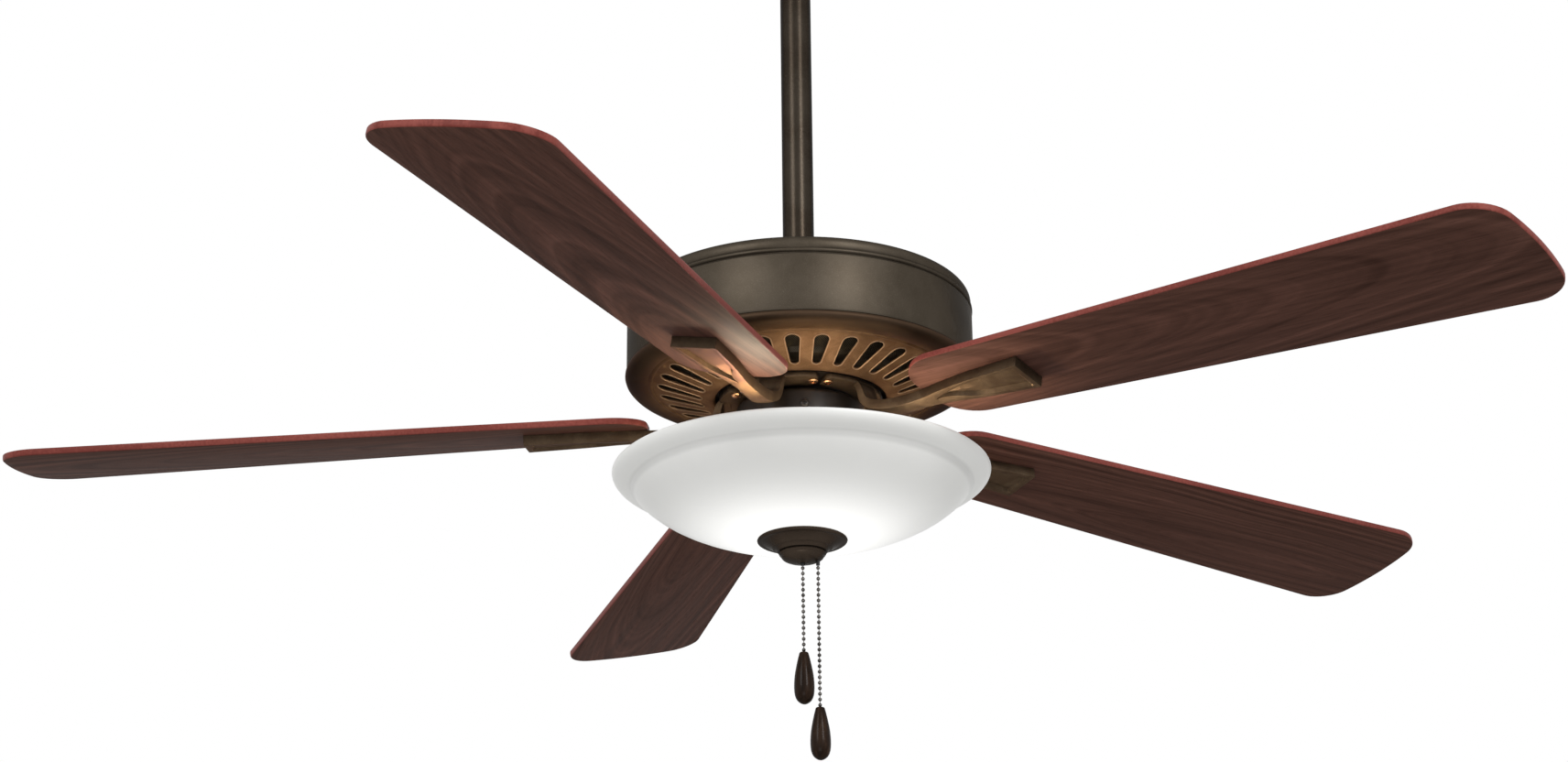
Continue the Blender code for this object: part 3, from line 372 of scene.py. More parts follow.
def pickEdges(piece, test):              # selects edges by the two ends' places, and stays in edit mode
    openMesh(piece)
    bpy.ops.mesh.select_mode(type="EDGE")
    bpy.ops.mesh.select_all(action="DESELECT")
    closeMesh()
    points = piece.data.vertices
    for edge in piece.data.edges:
        edge.select = test(points[edge.vertices[0]].co, points[edge.vertices[1]].co)
    bpy.ops.object.mode_set(mode="EDIT")


def extrudeBy(move):
    bpy.ops.mesh.extrude_region_move(TRANSFORM_OT_translate={"value": move})


def tidyMesh():
    bpy.ops.mesh.select_all(action="SELECT")
    bpy.ops.mesh.remove_doubles(threshold=1e-5)
    bpy.ops.mesh.normals_make_consistent(inside=False)
    closeMesh()


def modify(piece, kind, **settings):
    pickOnly(piece)
    change = piece.modifiers.new(kind.lower(), kind)
    for name, value in settings.items():
        setattr(change, name, value)
    bpy.ops.object.modifier_apply(modifier=change.name)
    return piece


def softenEdges(piece, width, segments, angle):
    return modify(piece, "BEVEL", width=width, segments=segments, limit_method="ANGLE",
                  angle_limit=math.radians(angle))


def cutAway(piece, tool):
    modify(piece, "BOOLEAN", object=tool, operation="DIFFERENCE", solver="EXACT")
    bpy.data.objects.remove(tool)


def turned(profile, sides=96, hollow=True, centre=(0, 0), level=hubZ):    # (radius, height) points
    pickNothing()
    radius, height = profile[0]
    bpy.ops.mesh.primitive_circle_add(vertices=sides, radius=radius, location=(*centre, level + height),
                                      fill_type="NOTHING" if hollow else "NGON")
    piece = bpy.context.object
    bpy.ops.object.transform_apply(location=True)
    openMesh(piece)
    for nextRadius, nextHeight in profile[1:] + (profile[:1] if hollow else []):
        extrudeBy((0, 0, nextHeight - height))
        size = nextRadius / radius
        bpy.ops.transform.resize(value=(size, size, 1), center_override=(*centre, level + nextHeight))
        radius, height = nextRadius, nextHeight
    tidyMesh()
    return piece


def arc(x, z, radius, start, end, steps):
    angles = [math.radians(start + (end - start) * step / steps) for step in range(steps + 1)]
    return [(x + radius * math.cos(a), z + radius * math.sin(a)) for a in angles]


def repeatAround(piece, count):
    bpy.ops.object.empty_add(location=(0, 0, 0))
    pivot = bpy.context.object
    pivot.rotation_euler.z = fullTurn / count
    modify(piece, "ARRAY", count=count, use_relative_offset=False, use_object_offset=True,
           offset_object=pivot)
    bpy.data.objects.remove(pivot)
    return piece


def copyOf(piece, place=Matrix()):
    made = bpy.data.objects.new(piece.name, piece.data.copy())
    bpy.context.scene.collection.objects.link(made)
    made.data.transform(place)
    return made


def joined(pieces):
    pickOnly(pieces[0])
    for piece in pieces:
        piece.select_set(True)
    bpy.ops.object.join()
    return pieces[0]


def mount(piece, name, finish, body, nodes=(), smooth=32):     # nodes: what it stands for
    pickOnly(piece)
    bpy.ops.object.transform_apply(location=True, rotation=True, scale=True)
    if smooth:
        bpy.ops.object.shade_smooth_by_angle(angle=math.radians(smooth))
    piece.name = piece.data.name = name
    if finish:
        piece.data.materials.clear()
        piece.data.materials.append(finishes[finish])
    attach(piece, body)
    if nodes:
        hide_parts(*nodes)
    return piece


ceilingParts = {
    "rodSides": 64, "rodRadius": 0.01335, "rodWall": 0.0024, "chamfer": 0.0004, "canopySides": 96,
    "radius": 0.066, "body": 0.0654, "corner": 0.026, "bottom": -0.0665, "wall": 0.0012, "mouth": 0.028,
    "topEdge": [(0.066, -0.0005), (0.066, -0.0020), (0.0654, -0.0030), (0.0654, -0.0330)],
    "screw": [(0.0012, 0.0016), (0.0030, 0.0014), (0.0038, 0.0006), (0.0038, -0.0002), (0.0022, -0.0004)],
    "screwSides": 24, "screwHeight": -0.016}


def makeHanger(c):
    low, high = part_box("downrod")
    rod, bore, chamfer = c["rodRadius"], c["rodRadius"] - c["rodWall"], c["chamfer"]
    profile = [(rod - chamfer, low.z), (rod, low.z + chamfer), (rod, high.z - chamfer),
               (rod - chamfer, high.z), (bore, high.z), (bore, low.z)]
    mount(turned(profile, c["rodSides"], level=0), "rod", "rodBronze", "motor_frame", ["downrod"])
    corner, wall, bottom, mouth = c["corner"], c["wall"], c["bottom"], c["mouth"]
    middle = c["radius"] - corner
    profile = c["topEdge"] + arc(middle, bottom + corner, corner - 0.0004, 4, -84, 12)
    profile += [(mouth + 0.002, bottom + 0.0001), (mouth, bottom + 0.0008),
                (mouth + 0.0004, bottom + wall + 0.0004)]
    profile += arc(middle, bottom + corner, corner - wall - 0.0006, -84, 4, 10)
    profile += [(c["radius"] - 0.0016, -0.0005)]
    canopy = turned(profile, c["canopySides"], level=0)
    screw = turned(c["screw"], c["screwSides"], hollow=False, level=0)
    heads = []
    for side in (-1, 1):
        place = Matrix.Translation((side * c["body"], 0, c["screwHeight"]))
        heads.append(copyOf(screw, place @ Matrix.Rotation(side * math.pi / 2, 4, "Y")))
    bpy.data.objects.remove(screw)
    mount(joined([canopy] + heads), "canopyShell", "bronze", "ceiling_mount", ["canopy"])


makeHanger(ceilingParts)

housingParts = {
    "sides": 160, "coverSides": 96, "coverRadius": 0.0385, "rodPlay": 0.0005,
    "crown": [(0.0125, 0.1300), (0.0425, 0.1300), (0.0450, 0.1298), (0.0850, 0.1288), (0.1080, 0.1270),
              (0.1255, 0.1248), (0.1310, 0.1241)],
    "shoulder": (0.1383, 0.1160, 0.0066, 100, 6, 10),        # arcs: middle, radius, angles, steps
    "neck": [(0.1449, 0.1126), (0.1444, 0.1117), (0.1440, 0.1109)],
    "bead": (0.1442, 0.1093, 0.0018, 60, -55, 8),
    "wall": [(0.1442, 0.1074), (0.1440, 0.1069), (0.1445, 0.1063), (0.1453, 0.1059), (0.1455, 0.1050),
             (0.1455, 0.0592), (0.1450, 0.0575), (0.1441, 0.0572)],
    "inside": [(0.1430, 0.1080), (0.1365, 0.1185), (0.1255, 0.1215), (0.0425, 0.1286), (0.0125, 0.1286)],
    "coverSkirt": [(0, 0.1303), (0.0005, 0.1312), (0.0003, 0.1326), (-0.0006, 0.1338), (-0.0010, 0.1380),
                   (-0.0018, 0.1425), (-0.0038, 0.1500), (-0.0070, 0.1570), (-0.0105, 0.1630)],
    "coverNeck": [(0.0245, 0.1680), (0.0228, 0.1708), (0.0219, 0.1732), (0.0210, 0.1744), (0.0191, 0.1750)],
    "coverInnerNeck": [(0.0186, 0.1738), (0.0207, 0.1728), (0.0222, 0.1684)],
    "coverInnerSkirt": [(-0.0120, 0.1620), (-0.0085, 0.1562), (-0.0052, 0.1495), (-0.0030, 0.1425),
                        (-0.0012, 0.1303)]}


def outFrom(edge, points, level=0.0):    # points given from an edge, and from a level
    return [(edge + out, level + height) for out, height in points]


def makeHousing(c):
    profile = c["crown"] + arc(*c["shoulder"]) + c["neck"] + arc(*c["bead"]) + c["wall"] + c["inside"]
    mount(turned(profile, c["sides"]), "housingShell", "bronze", "motor_frame", ["motor_housing"])
    rod, edge = ceilingParts["rodRadius"] + c["rodPlay"], c["coverRadius"]
    profile = outFrom(edge, c["coverSkirt"]) + c["coverNeck"] + [(rod, 0.1750), (rod, 0.1738)]
    profile += c["coverInnerNeck"] + outFrom(edge, c["coverInnerSkirt"])
    mount(turned(profile, c["coverSides"]), "yokeCover", "bronze", "motor_frame", ["coupling_cover"])


makeHousing(housingParts)
print("hanger and housing turned")

ventParts = {
    "sides": 180, "slots": 30, "firstSlot": 0.25, "slotSides": 28, "innerEnd": (0.0860, 0.0040),
    "outerEnd": (0.1130, 0.0065), "rimWire": 0.00062, "cutDepth": 0.016,
    "cone": ((0.0790, 0.0345), (0.1232, 0.0480)), "coneRows": (0.1120, 0.1000, 0.0890, 0.0790),
    "rolledEdge": [(0.1438, 0.0566), (0.1458, 0.0566), (0.1466, 0.0552), (0.1467, 0.0540), (0.1462, 0.0524),
                   (0.1448, 0.0508), (0.1425, 0.0495), (0.1390, 0.0486), (0.1340, 0.0481), (0.1300, 0.0480),
                   (0.1278, 0.0482), (0.1268, 0.0476), (0.1256, 0.0472), (0.1246, 0.0474), (0.1240, 0.0479),
                   (0.1232, 0.0480)],
    "innerLip": [(0.0765, 0.0338), (0.0745, 0.0331), (0.0728, 0.0333), (0.0716, 0.0345), (0.0713, 0.0360),
                 (0.0722, 0.0372), (0.0738, 0.0365)],
    "inside": [(0.0790, 0.0360), (0.1000, 0.0424), (0.1240, 0.0498), (0.1320, 0.0500), (0.1380, 0.0505),
               (0.1420, 0.0520), (0.1428, 0.0545), (0.1428, 0.0640), (0.1438, 0.0640)]}
clothParts = {"wires": 360, "wire": 0.00022, "inner": 0.0800, "outer": 0.1222, "steps": 7, "above": 0.0024}


def plateHeight(radius):                 # underside of the slotted cone
    (inner, low), (outer, high) = ventParts["cone"]
    return low + (radius - inner) * (high - low) / (outer - inner)


def slotOutline(c):                      # a stadium that widens outwards, lying on the cone
    (near, nearRadius), (far, farRadius) = c["innerEnd"], c["outerEnd"]
    middle = (near + far) / 2
    pickNothing()
    bpy.ops.mesh.primitive_circle_add(vertices=c["slotSides"], radius=nearRadius, location=(middle, 0, 0))
    outline = bpy.context.object
    bpy.ops.object.transform_apply(location=True)
    for vertex in outline.data.vertices:
        x, y = vertex.co.x - middle, vertex.co.y
        growth = farRadius / nearRadius if x > -1e-6 else 1
        vertex.co.x, vertex.co.y = (far if x > -1e-6 else near) + x * growth, y * growth
        vertex.co.z = hubZ + plateHeight(math.hypot(vertex.co.x, vertex.co.y))
    return outline


def makeVent(c):
    profile = c["rolledEdge"] + [(radius, plateHeight(radius)) for radius in c["coneRows"]]
    plate = turned(profile + c["innerLip"] + c["inside"], c["sides"])
    cutter = slotOutline(c)
    openMesh(cutter)
    bpy.ops.mesh.edge_face_add()
    bpy.ops.transform.translate(value=(0, 0, -c["cutDepth"] / 2))
    extrudeBy((0, 0, c["cutDepth"]))
    tidyMesh()
    first = Matrix.Rotation(fullTurn * c["firstSlot"] / c["slots"], 4, "Z")
    cutter.data.transform(first)
    cutAway(plate, repeatAround(cutter, c["slots"]))
    mount(plate, "ventPlate", "copper_bronze", "motor_frame", ["vent_plate"])
    rim = slotOutline(c)
    pickOnly(rim)
    bpy.ops.object.convert(target="CURVE")
    rim.data.bevel_depth, rim.data.bevel_resolution = c["rimWire"], 1
    bpy.ops.object.convert(target="MESH")
    rim.data.transform(first)
    # the slot rims take the lighter copper: painted highlight along the slot edges
    mount(repeatAround(rim, c["slots"]), "slotRims", "lipCopper", "motor_frame")


def makeVentCloth(c):                    # crossed wires behind the slots, at 45 degrees everywhere
    wires = []
    inner, steps = c["inner"], c["steps"]
    for side in (-1, 1):
        pickNothing()
        bpy.ops.mesh.primitive_circle_add(vertices=3, radius=c["wire"], location=(inner, 0, 0),
                                          rotation=(math.pi / 2, 0, side * math.pi / 4), fill_type="NGON")
        wire = bpy.context.object
        bpy.ops.object.transform_apply(location=True, rotation=True)
        openMesh(wire)
        x, y = inner, 0
        for step in range(1, steps + 1):
            radius = inner * (c["outer"] / inner) ** (step / steps)
            angle = side * math.log(radius / inner)
            nextX, nextY = radius * math.cos(angle), radius * math.sin(angle)
            extrudeBy((nextX - x, nextY - y, 0))
            x, y = nextX, nextY
        tidyMesh()
        for vertex in wire.data.vertices:
            out = math.hypot(vertex.co.x, vertex.co.y)
            vertex.co.z += hubZ + plateHeight(out) + c["above"] + side * c["wire"] * 0.7
        wires.append(repeatAround(wire, c["wires"]))
    mount(joined(wires), "ventCloth", "wireCloth", "motor_frame", ["vent_mesh"], smooth=0)


makeVent(ventParts)
makeVentCloth(clothParts)
print("vent plate slotted")

bladeParts = {"count": 5, "first": 34.0, "root": 0.127, "tip": 0.6604, "halfWidth": 0.0510,
              "halfWidthAt": 0.25, "spread": 0.0445, "thickness": 0.0055, "pitch": 10.7, "droop": 2.2,
              "levelRadius": 0.4, "rootCorner": 0.034, "tipCorner": 0.027, "tipArc": 0.287, "tipCuts": 13,
              "cornerSteps": 10, "edgeRound": 0.0013, "boardShift": (0.31, 0.012)}


def bladePlace(c, index):
    angle = math.radians(c["first"]) + fullTurn * index / c["count"]
    level = Matrix.Translation((c["levelRadius"], 0, 0))
    droop, pitch = math.radians(c["droop"]), math.radians(c["pitch"])
    lean = Matrix.Rotation(droop, 4, "Y") @ Matrix.Rotation(-pitch, 4, "X")
    turn = Matrix.Translation((0, 0, hubZ)) @ Matrix.Rotation(angle, 4, "Z")
    return turn @ level @ lean @ level.inverted()


def makeBlades(c):
    middle, length = (c["root"] + c["tip"]) / 2, c["tip"] - c["root"]
    def half(radius): return c["halfWidth"] + (radius - c["halfWidthAt"]) * c["spread"]
    near = 1e-5
    pickNothing()
    bpy.ops.mesh.primitive_cube_add(size=1, location=(middle, 0, c["thickness"] / 2),
                                    scale=(length, 2 * half(c["root"]), c["thickness"]))
    blade = bpy.context.object
    bpy.ops.object.transform_apply(location=True, scale=True)
    for end, corner in ((c["tip"], c["tipCorner"]), (c["root"], c["rootCorner"])):
        pickEdges(blade, lambda a, b: min(a.x, b.x) > middle)
        if end == c["tip"]:
            widen = half(c["tip"]) / half(c["root"])
            bpy.ops.transform.resize(value=(1, widen, 1), center_override=(end, 0, 0))
        pickEdges(blade, lambda a, b: max(abs(a.x - end), abs(b.x - end)) < near and abs(a.z - b.z) > near)
        bpy.ops.mesh.bevel(offset=corner, segments=c["cornerSteps"], affect="EDGES")
        closeMesh()
    pickEdges(blade, lambda a, b: min(a.x, b.x) > c["tip"] - near and abs(a.y - b.y) > 0.02)
    bpy.ops.mesh.subdivide(number_cuts=c["tipCuts"])
    closeMesh()
    for vertex in blade.data.vertices:   # the tip's shallow arc
        if vertex.co.x > c["tip"] - c["tipCorner"] * 1.2:
            vertex.co.x -= vertex.co.y ** 2 / (2 * c["tipArc"])
    softenEdges(blade, c["edgeRound"], 3, 50)
    pickOnly(blade)
    bpy.ops.object.shade_smooth_by_angle(angle=math.radians(32))
    blade.data.materials.append(finishes["walnut"])
    blade.data.materials.append(finishes["walnutEdge"])
    sheet = blade.data.uv_layers.get("UVMap") or blade.data.uv_layers.new(name="UVMap")
    blade.data.uv_layers.active = sheet
    for face in blade.data.polygons:
        face.material_index = 0 if abs(face.normal.z) > 0.90 else 1
    along, across = c["boardShift"]
    for index in range(c["count"]):
        made = copyOf(blade)
        for loop in made.data.loops:     # the grain is cut from another place of the board for each blade
            spot = made.data.vertices[loop.vertex_index].co
            uv = (spot.x - 0.52 + along * index, spot.y + across * (index - 2))
            made.data.uv_layers[0].data[loop.index].uv = uv
        made.data.transform(bladePlace(c, index))
        mount(made, f"blade{index + 1}", None, "rotor", [f"blade_{index + 1}"], smooth=0)
    bpy.data.objects.remove(blade)


makeBlades(bladeParts)

ironParts = {
    "thickness": 0.0085, "padEnd": 0.230, "footTop": 0.0342, "footThickness": 0.0042, "footInner": 0.047,
    "footOuter": 0.068, "footHalfAngle": 33.5, "footSteps": 16, "footCorner": 0.0065, "footRound": 0.0006,
    "rimWidth": 0.0040, "pocketDepth": 0.0036, "ridge": 0.0024, "tipRim": 0.0050, "wallRun": 0.0017,
    "pocketFrom": 6.57, "pocketOpenAt": 7.9, "pocketTo": 9.62, "crown": 0.0007, "edgeRound": 0.0007,
    "padStops": [6.75, 6.9, 7.05, 7.2, 7.4, 7.65, 7.9, 8.2, 8.5, 8.8, 9.1, 9.4, 9.58, 9.68, 9.85, 10],
    "screwCircle": 0.060, "screwAngle": 30,
    "bladeScrews": ((0.166, -0.001), (0.208, -0.0115), (0.208, 0.0075))}


def ironSections(c):                     # along the arm: radius, height, slope, thickness, two sides, tilt
    foot, end, thick = c["footTop"] - c["footThickness"] / 2, c["padEnd"], c["thickness"]
    droop = bladeParts["droop"]
    fall = math.tan(math.radians(droop))
    def under(radius): return (bladeParts["levelRadius"] - radius) * fall - 0.0003 - thick / 2
    return [(0.0580, foot, 0, 0.0036, -0.0110, 0.0110, 0),
            (0.0655, foot - 0.0012, -40, 0.0044, -0.0110, 0.0110, 0),
            (0.0688, foot - 0.0075, -80, 0.0056, -0.0100, 0.0100, 0),
            (0.0712, foot - 0.0160, -58, 0.0066, -0.0090, 0.0090, 0),
            (0.0790, foot - 0.0222, -22, 0.0078, -0.0082, 0.0082, 0.2),
            (0.0980, under(0.098) - 0.0015, -6, thick, -0.0075, 0.0075, 0.5),
            (0.1280, under(0.128) - 0.0006, -4, thick, -0.0075, 0.0068, 0.85),
            (0.1500, under(0.150), -droop, thick, -0.0115, 0.0084, 1),
            (0.1760, under(0.176), -droop, thick, -0.0160, 0.0122, 1),
            (0.2100, under(0.210), -droop, thick, -0.0195, 0.0149, 1),
            (end, under(end), -droop, thick, -0.0215, 0.0160, 1)]


def flowing(rows, at):                   # a smooth value between the rows of a table
    index = min(int(at), len(rows) - 2)
    t = at - index
    before, after = rows[max(index - 1, 0)], rows[min(index + 2, len(rows) - 1)]
    return [0.5 * (2 * q + (r - p) * t + (2 * p - 5 * q + 4 * r - s) * t ** 2
                   + (3 * q - p - 3 * r + s) * t ** 3)
            for p, q, r, s in zip(before, rows[index], rows[index + 1], after)]


def pocketRow(c, row, at, low, high):    # where a row runs across the pad, between its two sides
    opening = max(0.0, min(1.0, (at - c["pocketFrom"]) / (c["pocketOpenAt"] - c["pocketFrom"]))) ** 0.8
    lowRim = low + c["rimWidth"] * 0.9 + c["tipRim"] * (1 - opening)
    highRim = lowRim + 0.0010 + (high - c["rimWidth"] - lowRim - 0.0010) * opening
    wall = c["wallRun"] * opening + 0.0001
    ridge = lowRim + (highRim - lowRim) * 0.42
    return opening, [low, lowRim, lowRim + wall * 0.4, ridge, highRim - wall, highRim, high][row]


def armMesh(c):                          # laid out as a flat slab first, then every point goes to its section
    sections, rows = ironSections(c), 6
    start, wallEnd = c["pocketFrom"], c["pocketFrom"] + 0.03
    stops = [step / 4 for step in range(25)] + [6.3, start, wallEnd] + c["padStops"]
    pickNothing()
    bpy.ops.mesh.primitive_grid_add(x_subdivisions=len(stops) - 1, y_subdivisions=rows, size=1)
    arm = bpy.context.object
    openMesh(arm)
    extrudeBy((0, 0, 1))
    closeMesh()
    for vertex in arm.data.vertices:
        at = stops[round((vertex.co.x + 0.5) * (len(stops) - 1))]
        row = round((vertex.co.y + 0.5) * rows)
        face = 0.5 if vertex.co.z > 0.5 else -0.5
        radius, height, slope, thickness, low, high, tilt = flowing(sections, at)
        opening, across = pocketRow(c, row, at, low, high)
        lift = 0
        if at < start:
            across = low + (high - low) * row / rows
            if face < 0:                 # the arm's face is slightly crowned
                lift = -c["crown"] * (1 - ((row - rows / 2) / (rows / 2)) ** 2)
        elif face < 0 and start < at < c["pocketTo"] and 1 < row < 5:
            lift = c["pocketDepth"] - (c["ridge"] * opening if row == 3 else 0)
        if at == wallEnd:
            lift *= 0.35
        lean, pitch = math.radians(slope), math.radians(bladeParts["pitch"]) * tilt
        side = Vector((0, math.cos(pitch), -math.sin(pitch)))
        up = Vector((-math.sin(lean), math.sin(pitch) * math.cos(lean), math.cos(pitch) * math.cos(lean)))
        vertex.co = Vector((radius, 0, height + hubZ)) + side * across + up * (face * thickness + lift)
    openMesh(arm)
    tidyMesh()
    return softenEdges(arm, c["edgeRound"], 2, 34)


def footMesh(c):                         # the curved foot that is screwed to the rotor
    inner, outer, half = c["footInner"], c["footOuter"], math.radians(c["footHalfAngle"])
    pickNothing()
    bpy.ops.mesh.primitive_grid_add(x_subdivisions=c["footSteps"], y_subdivisions=1, size=1)
    foot = bpy.context.object
    openMesh(foot)
    extrudeBy((0, 0, c["footThickness"]))
    closeMesh()
    for vertex in foot.data.vertices:
        angle = vertex.co.x * 2 * half
        radius = inner + (vertex.co.y + 0.5) * (outer - inner)
        vertex.co.x, vertex.co.y = radius * math.cos(angle), radius * math.sin(angle)
        vertex.co.z += hubZ + c["footTop"] - c["footThickness"]
    openMesh(foot)
    tidyMesh()
    ends = math.cos(half) * outer + 1e-4
    def atEnd(point): return abs(abs(math.atan2(point.y, point.x)) - half) < 1e-4 and point.x < ends
    pickEdges(foot, lambda a, b: abs(a.z - b.z) > 0.001 and atEnd(a))
    bpy.ops.mesh.bevel(offset=c["footCorner"], segments=6, affect="EDGES")
    closeMesh()
    return softenEdges(foot, c["footRound"], 2, 40)


screwSizes = {"foot": (0.0042, 0.0022, 0.0021, 0.006), "blade": (0.0040, 0.0020, 0.0018, 0.004),
              "cup": (0.0036, 0.0018, 0.0016, 0.004)}        # head, height, shank, length


def panScrew(head, height, shank, length):     # a pan head with a cross recess, its underside at zero
    dome = [(head * 0.2, -height), (head * 0.62, -height * 0.95), (head * 0.88, -height * 0.70),
            (head, -height * 0.25), (head * 0.98, 0), (shank, 0), (shank, length)]
    screw = turned(dome, 24, hollow=False, level=0)
    long, narrow, deep = head * 1.15, head * 0.22, height * 0.9
    for size in ((narrow, long, deep), (long, narrow, deep)):
        pickNothing()
        bpy.ops.mesh.primitive_cube_add(size=1, location=(0, 0, -height), scale=size)
        bar = bpy.context.object
        openMesh(bar)
        bpy.ops.mesh.bevel(offset=head * 0.05, segments=1, affect="EDGES")
        closeMesh()
        bpy.ops.object.transform_apply(location=True, scale=True)
        cutAway(screw, bar)
    return screw


def makeIrons(c):
    iron, foot = armMesh(c), footMesh(c)
    modify(iron, "BOOLEAN", object=foot, operation="UNION", solver="EXACT")
    bpy.data.objects.remove(foot)
    footScrew, bladeScrew = panScrew(*screwSizes["foot"]), panScrew(*screwSizes["blade"])
    circle, seat = c["screwCircle"], hubZ + c["footTop"] - c["footThickness"] - 0.0003
    tops = []
    for index in range(bladeParts["count"]):
        angle = math.radians(bladeParts["first"]) + fullTurn * index / bladeParts["count"]
        mount(copyOf(iron, Matrix.Rotation(angle, 4, "Z")), f"bladeIron{index + 1}", "ironCopper", "rotor",
              [f"blade_iron_{index + 1}"], smooth=28)
        for side, label in ((-1, "a"), (1, "b")):
            turnTo = angle + side * math.radians(c["screwAngle"])
            place = Matrix.Translation((circle * math.cos(turnTo), circle * math.sin(turnTo), seat))
            place = place @ Matrix.Rotation(1.3 * index + side, 4, "Z")
            mount(copyOf(footScrew, place), f"ironScrew{index + 1}{label}", "screw_brass", "rotor",
                  [f"iron_screw_{index + 1}{label}"])
        for x, y in c["bladeScrews"]:
            place = bladePlace(bladeParts, index) @ Matrix.Translation((x, y, bladeParts["thickness"]))
            place = place @ Matrix.Rotation(math.pi, 4, "X")
            tops.append(copyOf(bladeScrew, place @ Matrix.Rotation(x * 90 + y * 400 + index, 4, "Z")))
    mount(joined(tops), "bladeScrews", "bronze", "rotor")
    for piece in (iron, footScrew, bladeScrew):
        bpy.data.objects.remove(piece)


makeIrons(ironParts)
print("blades and irons in place")

cupParts = {
    "radius": 0.054, "wall": 0.0014, "top": 0.0265, "floor": -0.0247, "corner": 0.004, "sides": 96,
    "shaftHole": 0.0083, "bead": [(0, -0.0190), (0.0008, -0.0196), (0.0008, -0.0212), (0, -0.0218)],
    "slot": (0.0150, 0.010, 0.006), "slotCorner": 0.0012, "screws": 3, "firstScrew": 0.06,
    "screwHeight": 0.012}
panParts = {
    "radius": 0.076, "top": -0.025, "corner": 0.003, "wall": 0.0015, "tubeHole": 0.0168, "sides": 96,
    "step": [(0.060, 0), (0.0606, -0.0004), (0.0650, -0.0004), (0.0656, 0)],
    "lip": [(0, -0.0040), (-0.0003, -0.0042), (-0.0015, -0.0042), (-0.0015, -0.0036), (-0.0036, -0.0015)]}


def makeCup(c):
    out, wall, top, floor, corner = c["radius"], c["wall"], c["top"], c["floor"], c["corner"]
    profile = [(c["shaftHole"], top)] + arc(out - corner, top - corner, corner, 90, 0, 6)
    profile += outFrom(out, c["bead"]) + [(out, floor), (out - wall, floor)]
    profile += arc(out - corner, top - corner, corner - wall, 0, 90, 4)
    cup = turned(profile + [(c["shaftHole"], top - wall)], c["sides"])
    pickNothing()
    bpy.ops.mesh.primitive_cube_add(size=1, location=(0, out, hubZ), scale=c["slot"])
    opening = bpy.context.object
    bpy.ops.object.transform_apply(location=True, scale=True)
    pickEdges(opening, lambda a, b: abs(a.y - b.y) > c["slot"][1] / 2)
    bpy.ops.mesh.bevel(offset=c["slotCorner"], segments=3, affect="EDGES")
    closeMesh()
    cutAway(cup, opening)
    screw = panScrew(*screwSizes["cup"])
    place = Matrix.Translation((0, -out, hubZ + c["screwHeight"])) @ Matrix.Rotation(-math.pi / 2, 4, "X")
    heads = [copyOf(screw, Matrix.Rotation(c["firstScrew"] + fullTurn * index / c["screws"], 4, "Z") @ place)
             for index in range(c["screws"])]
    bpy.data.objects.remove(screw)
    mount(joined([cup] + heads), "switchCup", "dark_enamel", "motor_frame", ["switch_housing"])


def makePan(c):
    top, edge, hole, corner = c["top"], c["radius"], c["tubeHole"], c["corner"]
    profile = [(hole, top)] + outFrom(0, c["step"], top) + arc(edge - corner, top - corner, corner, 90, 0, 5)
    profile += outFrom(edge, c["lip"], top) + [(hole, top - c["wall"])]
    mount(turned(profile, c["sides"]), "lampPan", "dark_enamel", "motor_frame", ["light_pan"])


makeCup(cupParts)
makePan(panParts)


def bowlHeight(c, radius, wall=0.0):     # the dome's outside, or its inside with the glass's wall
    return c["bottom"] + wall + c["rise"] * (1 - math.sqrt(1 - (radius / (c["domeRadius"] - wall)) ** 2))


def makeBowl(c):                         # the rim band runs into a groove, then the dome and back inside
    edge, rim, wall = c["edge"], c["rim"], c["wall"]
    profile = outFrom(edge, c["band"], rim) + [(radius, bowlHeight(c, radius)) for radius in c["outside"]]
    profile += [(radius, bowlHeight(c, radius, wall)) for radius in c["inside"]] + c["innerBend"]
    profile += outFrom(edge, c["lip"], rim)
    mount(turned(profile, c["sides"]), "bowlGlass", "frosted_glass", "motor_frame", ["glass_bowl"], smooth=40)


finialParts = {
    "sides": 96, "hole": 0.0168, "seat": -0.0912, "seatTo": 0.0305,
    "onGlass": [(0.0320, -0.0005), (0.0365, -0.0003)], "edgeAt": 0.037,    # radii, and drops below the glass
    "edge": [(0.0370, -0.0008), (0.0373, -0.0014), (0.0370, -0.0021), (0.0362, -0.0027), (0.0348, -0.0030),
             (0.0338, -0.0030)],
    "face": [(0.0325, -0.0904), (0.0270, -0.0932), (0.0255, -0.0944), (0.0248, -0.0951), (0.0240, -0.0956),
             (0.0228, -0.0958), (0.0218, -0.0965), (0.0205, -0.0985), (0.0168, -0.0985)],
    "knob": 0.019, "knobTop": -0.0988, "knobLow": -0.108, "knobNose": 0.0040, "knobWaist": 0.0032,
    "knobAngles": (76, 68, 60, 52, 44, 35, 26, 17, 8, 0), "eyelets": (0.0, 0.0125), "eyelet": 0.0021,
    "knobLip": [(0, -0.0022), (0.0005, -0.0014), (0.0002, -0.0006), (-0.0006, 0)]}


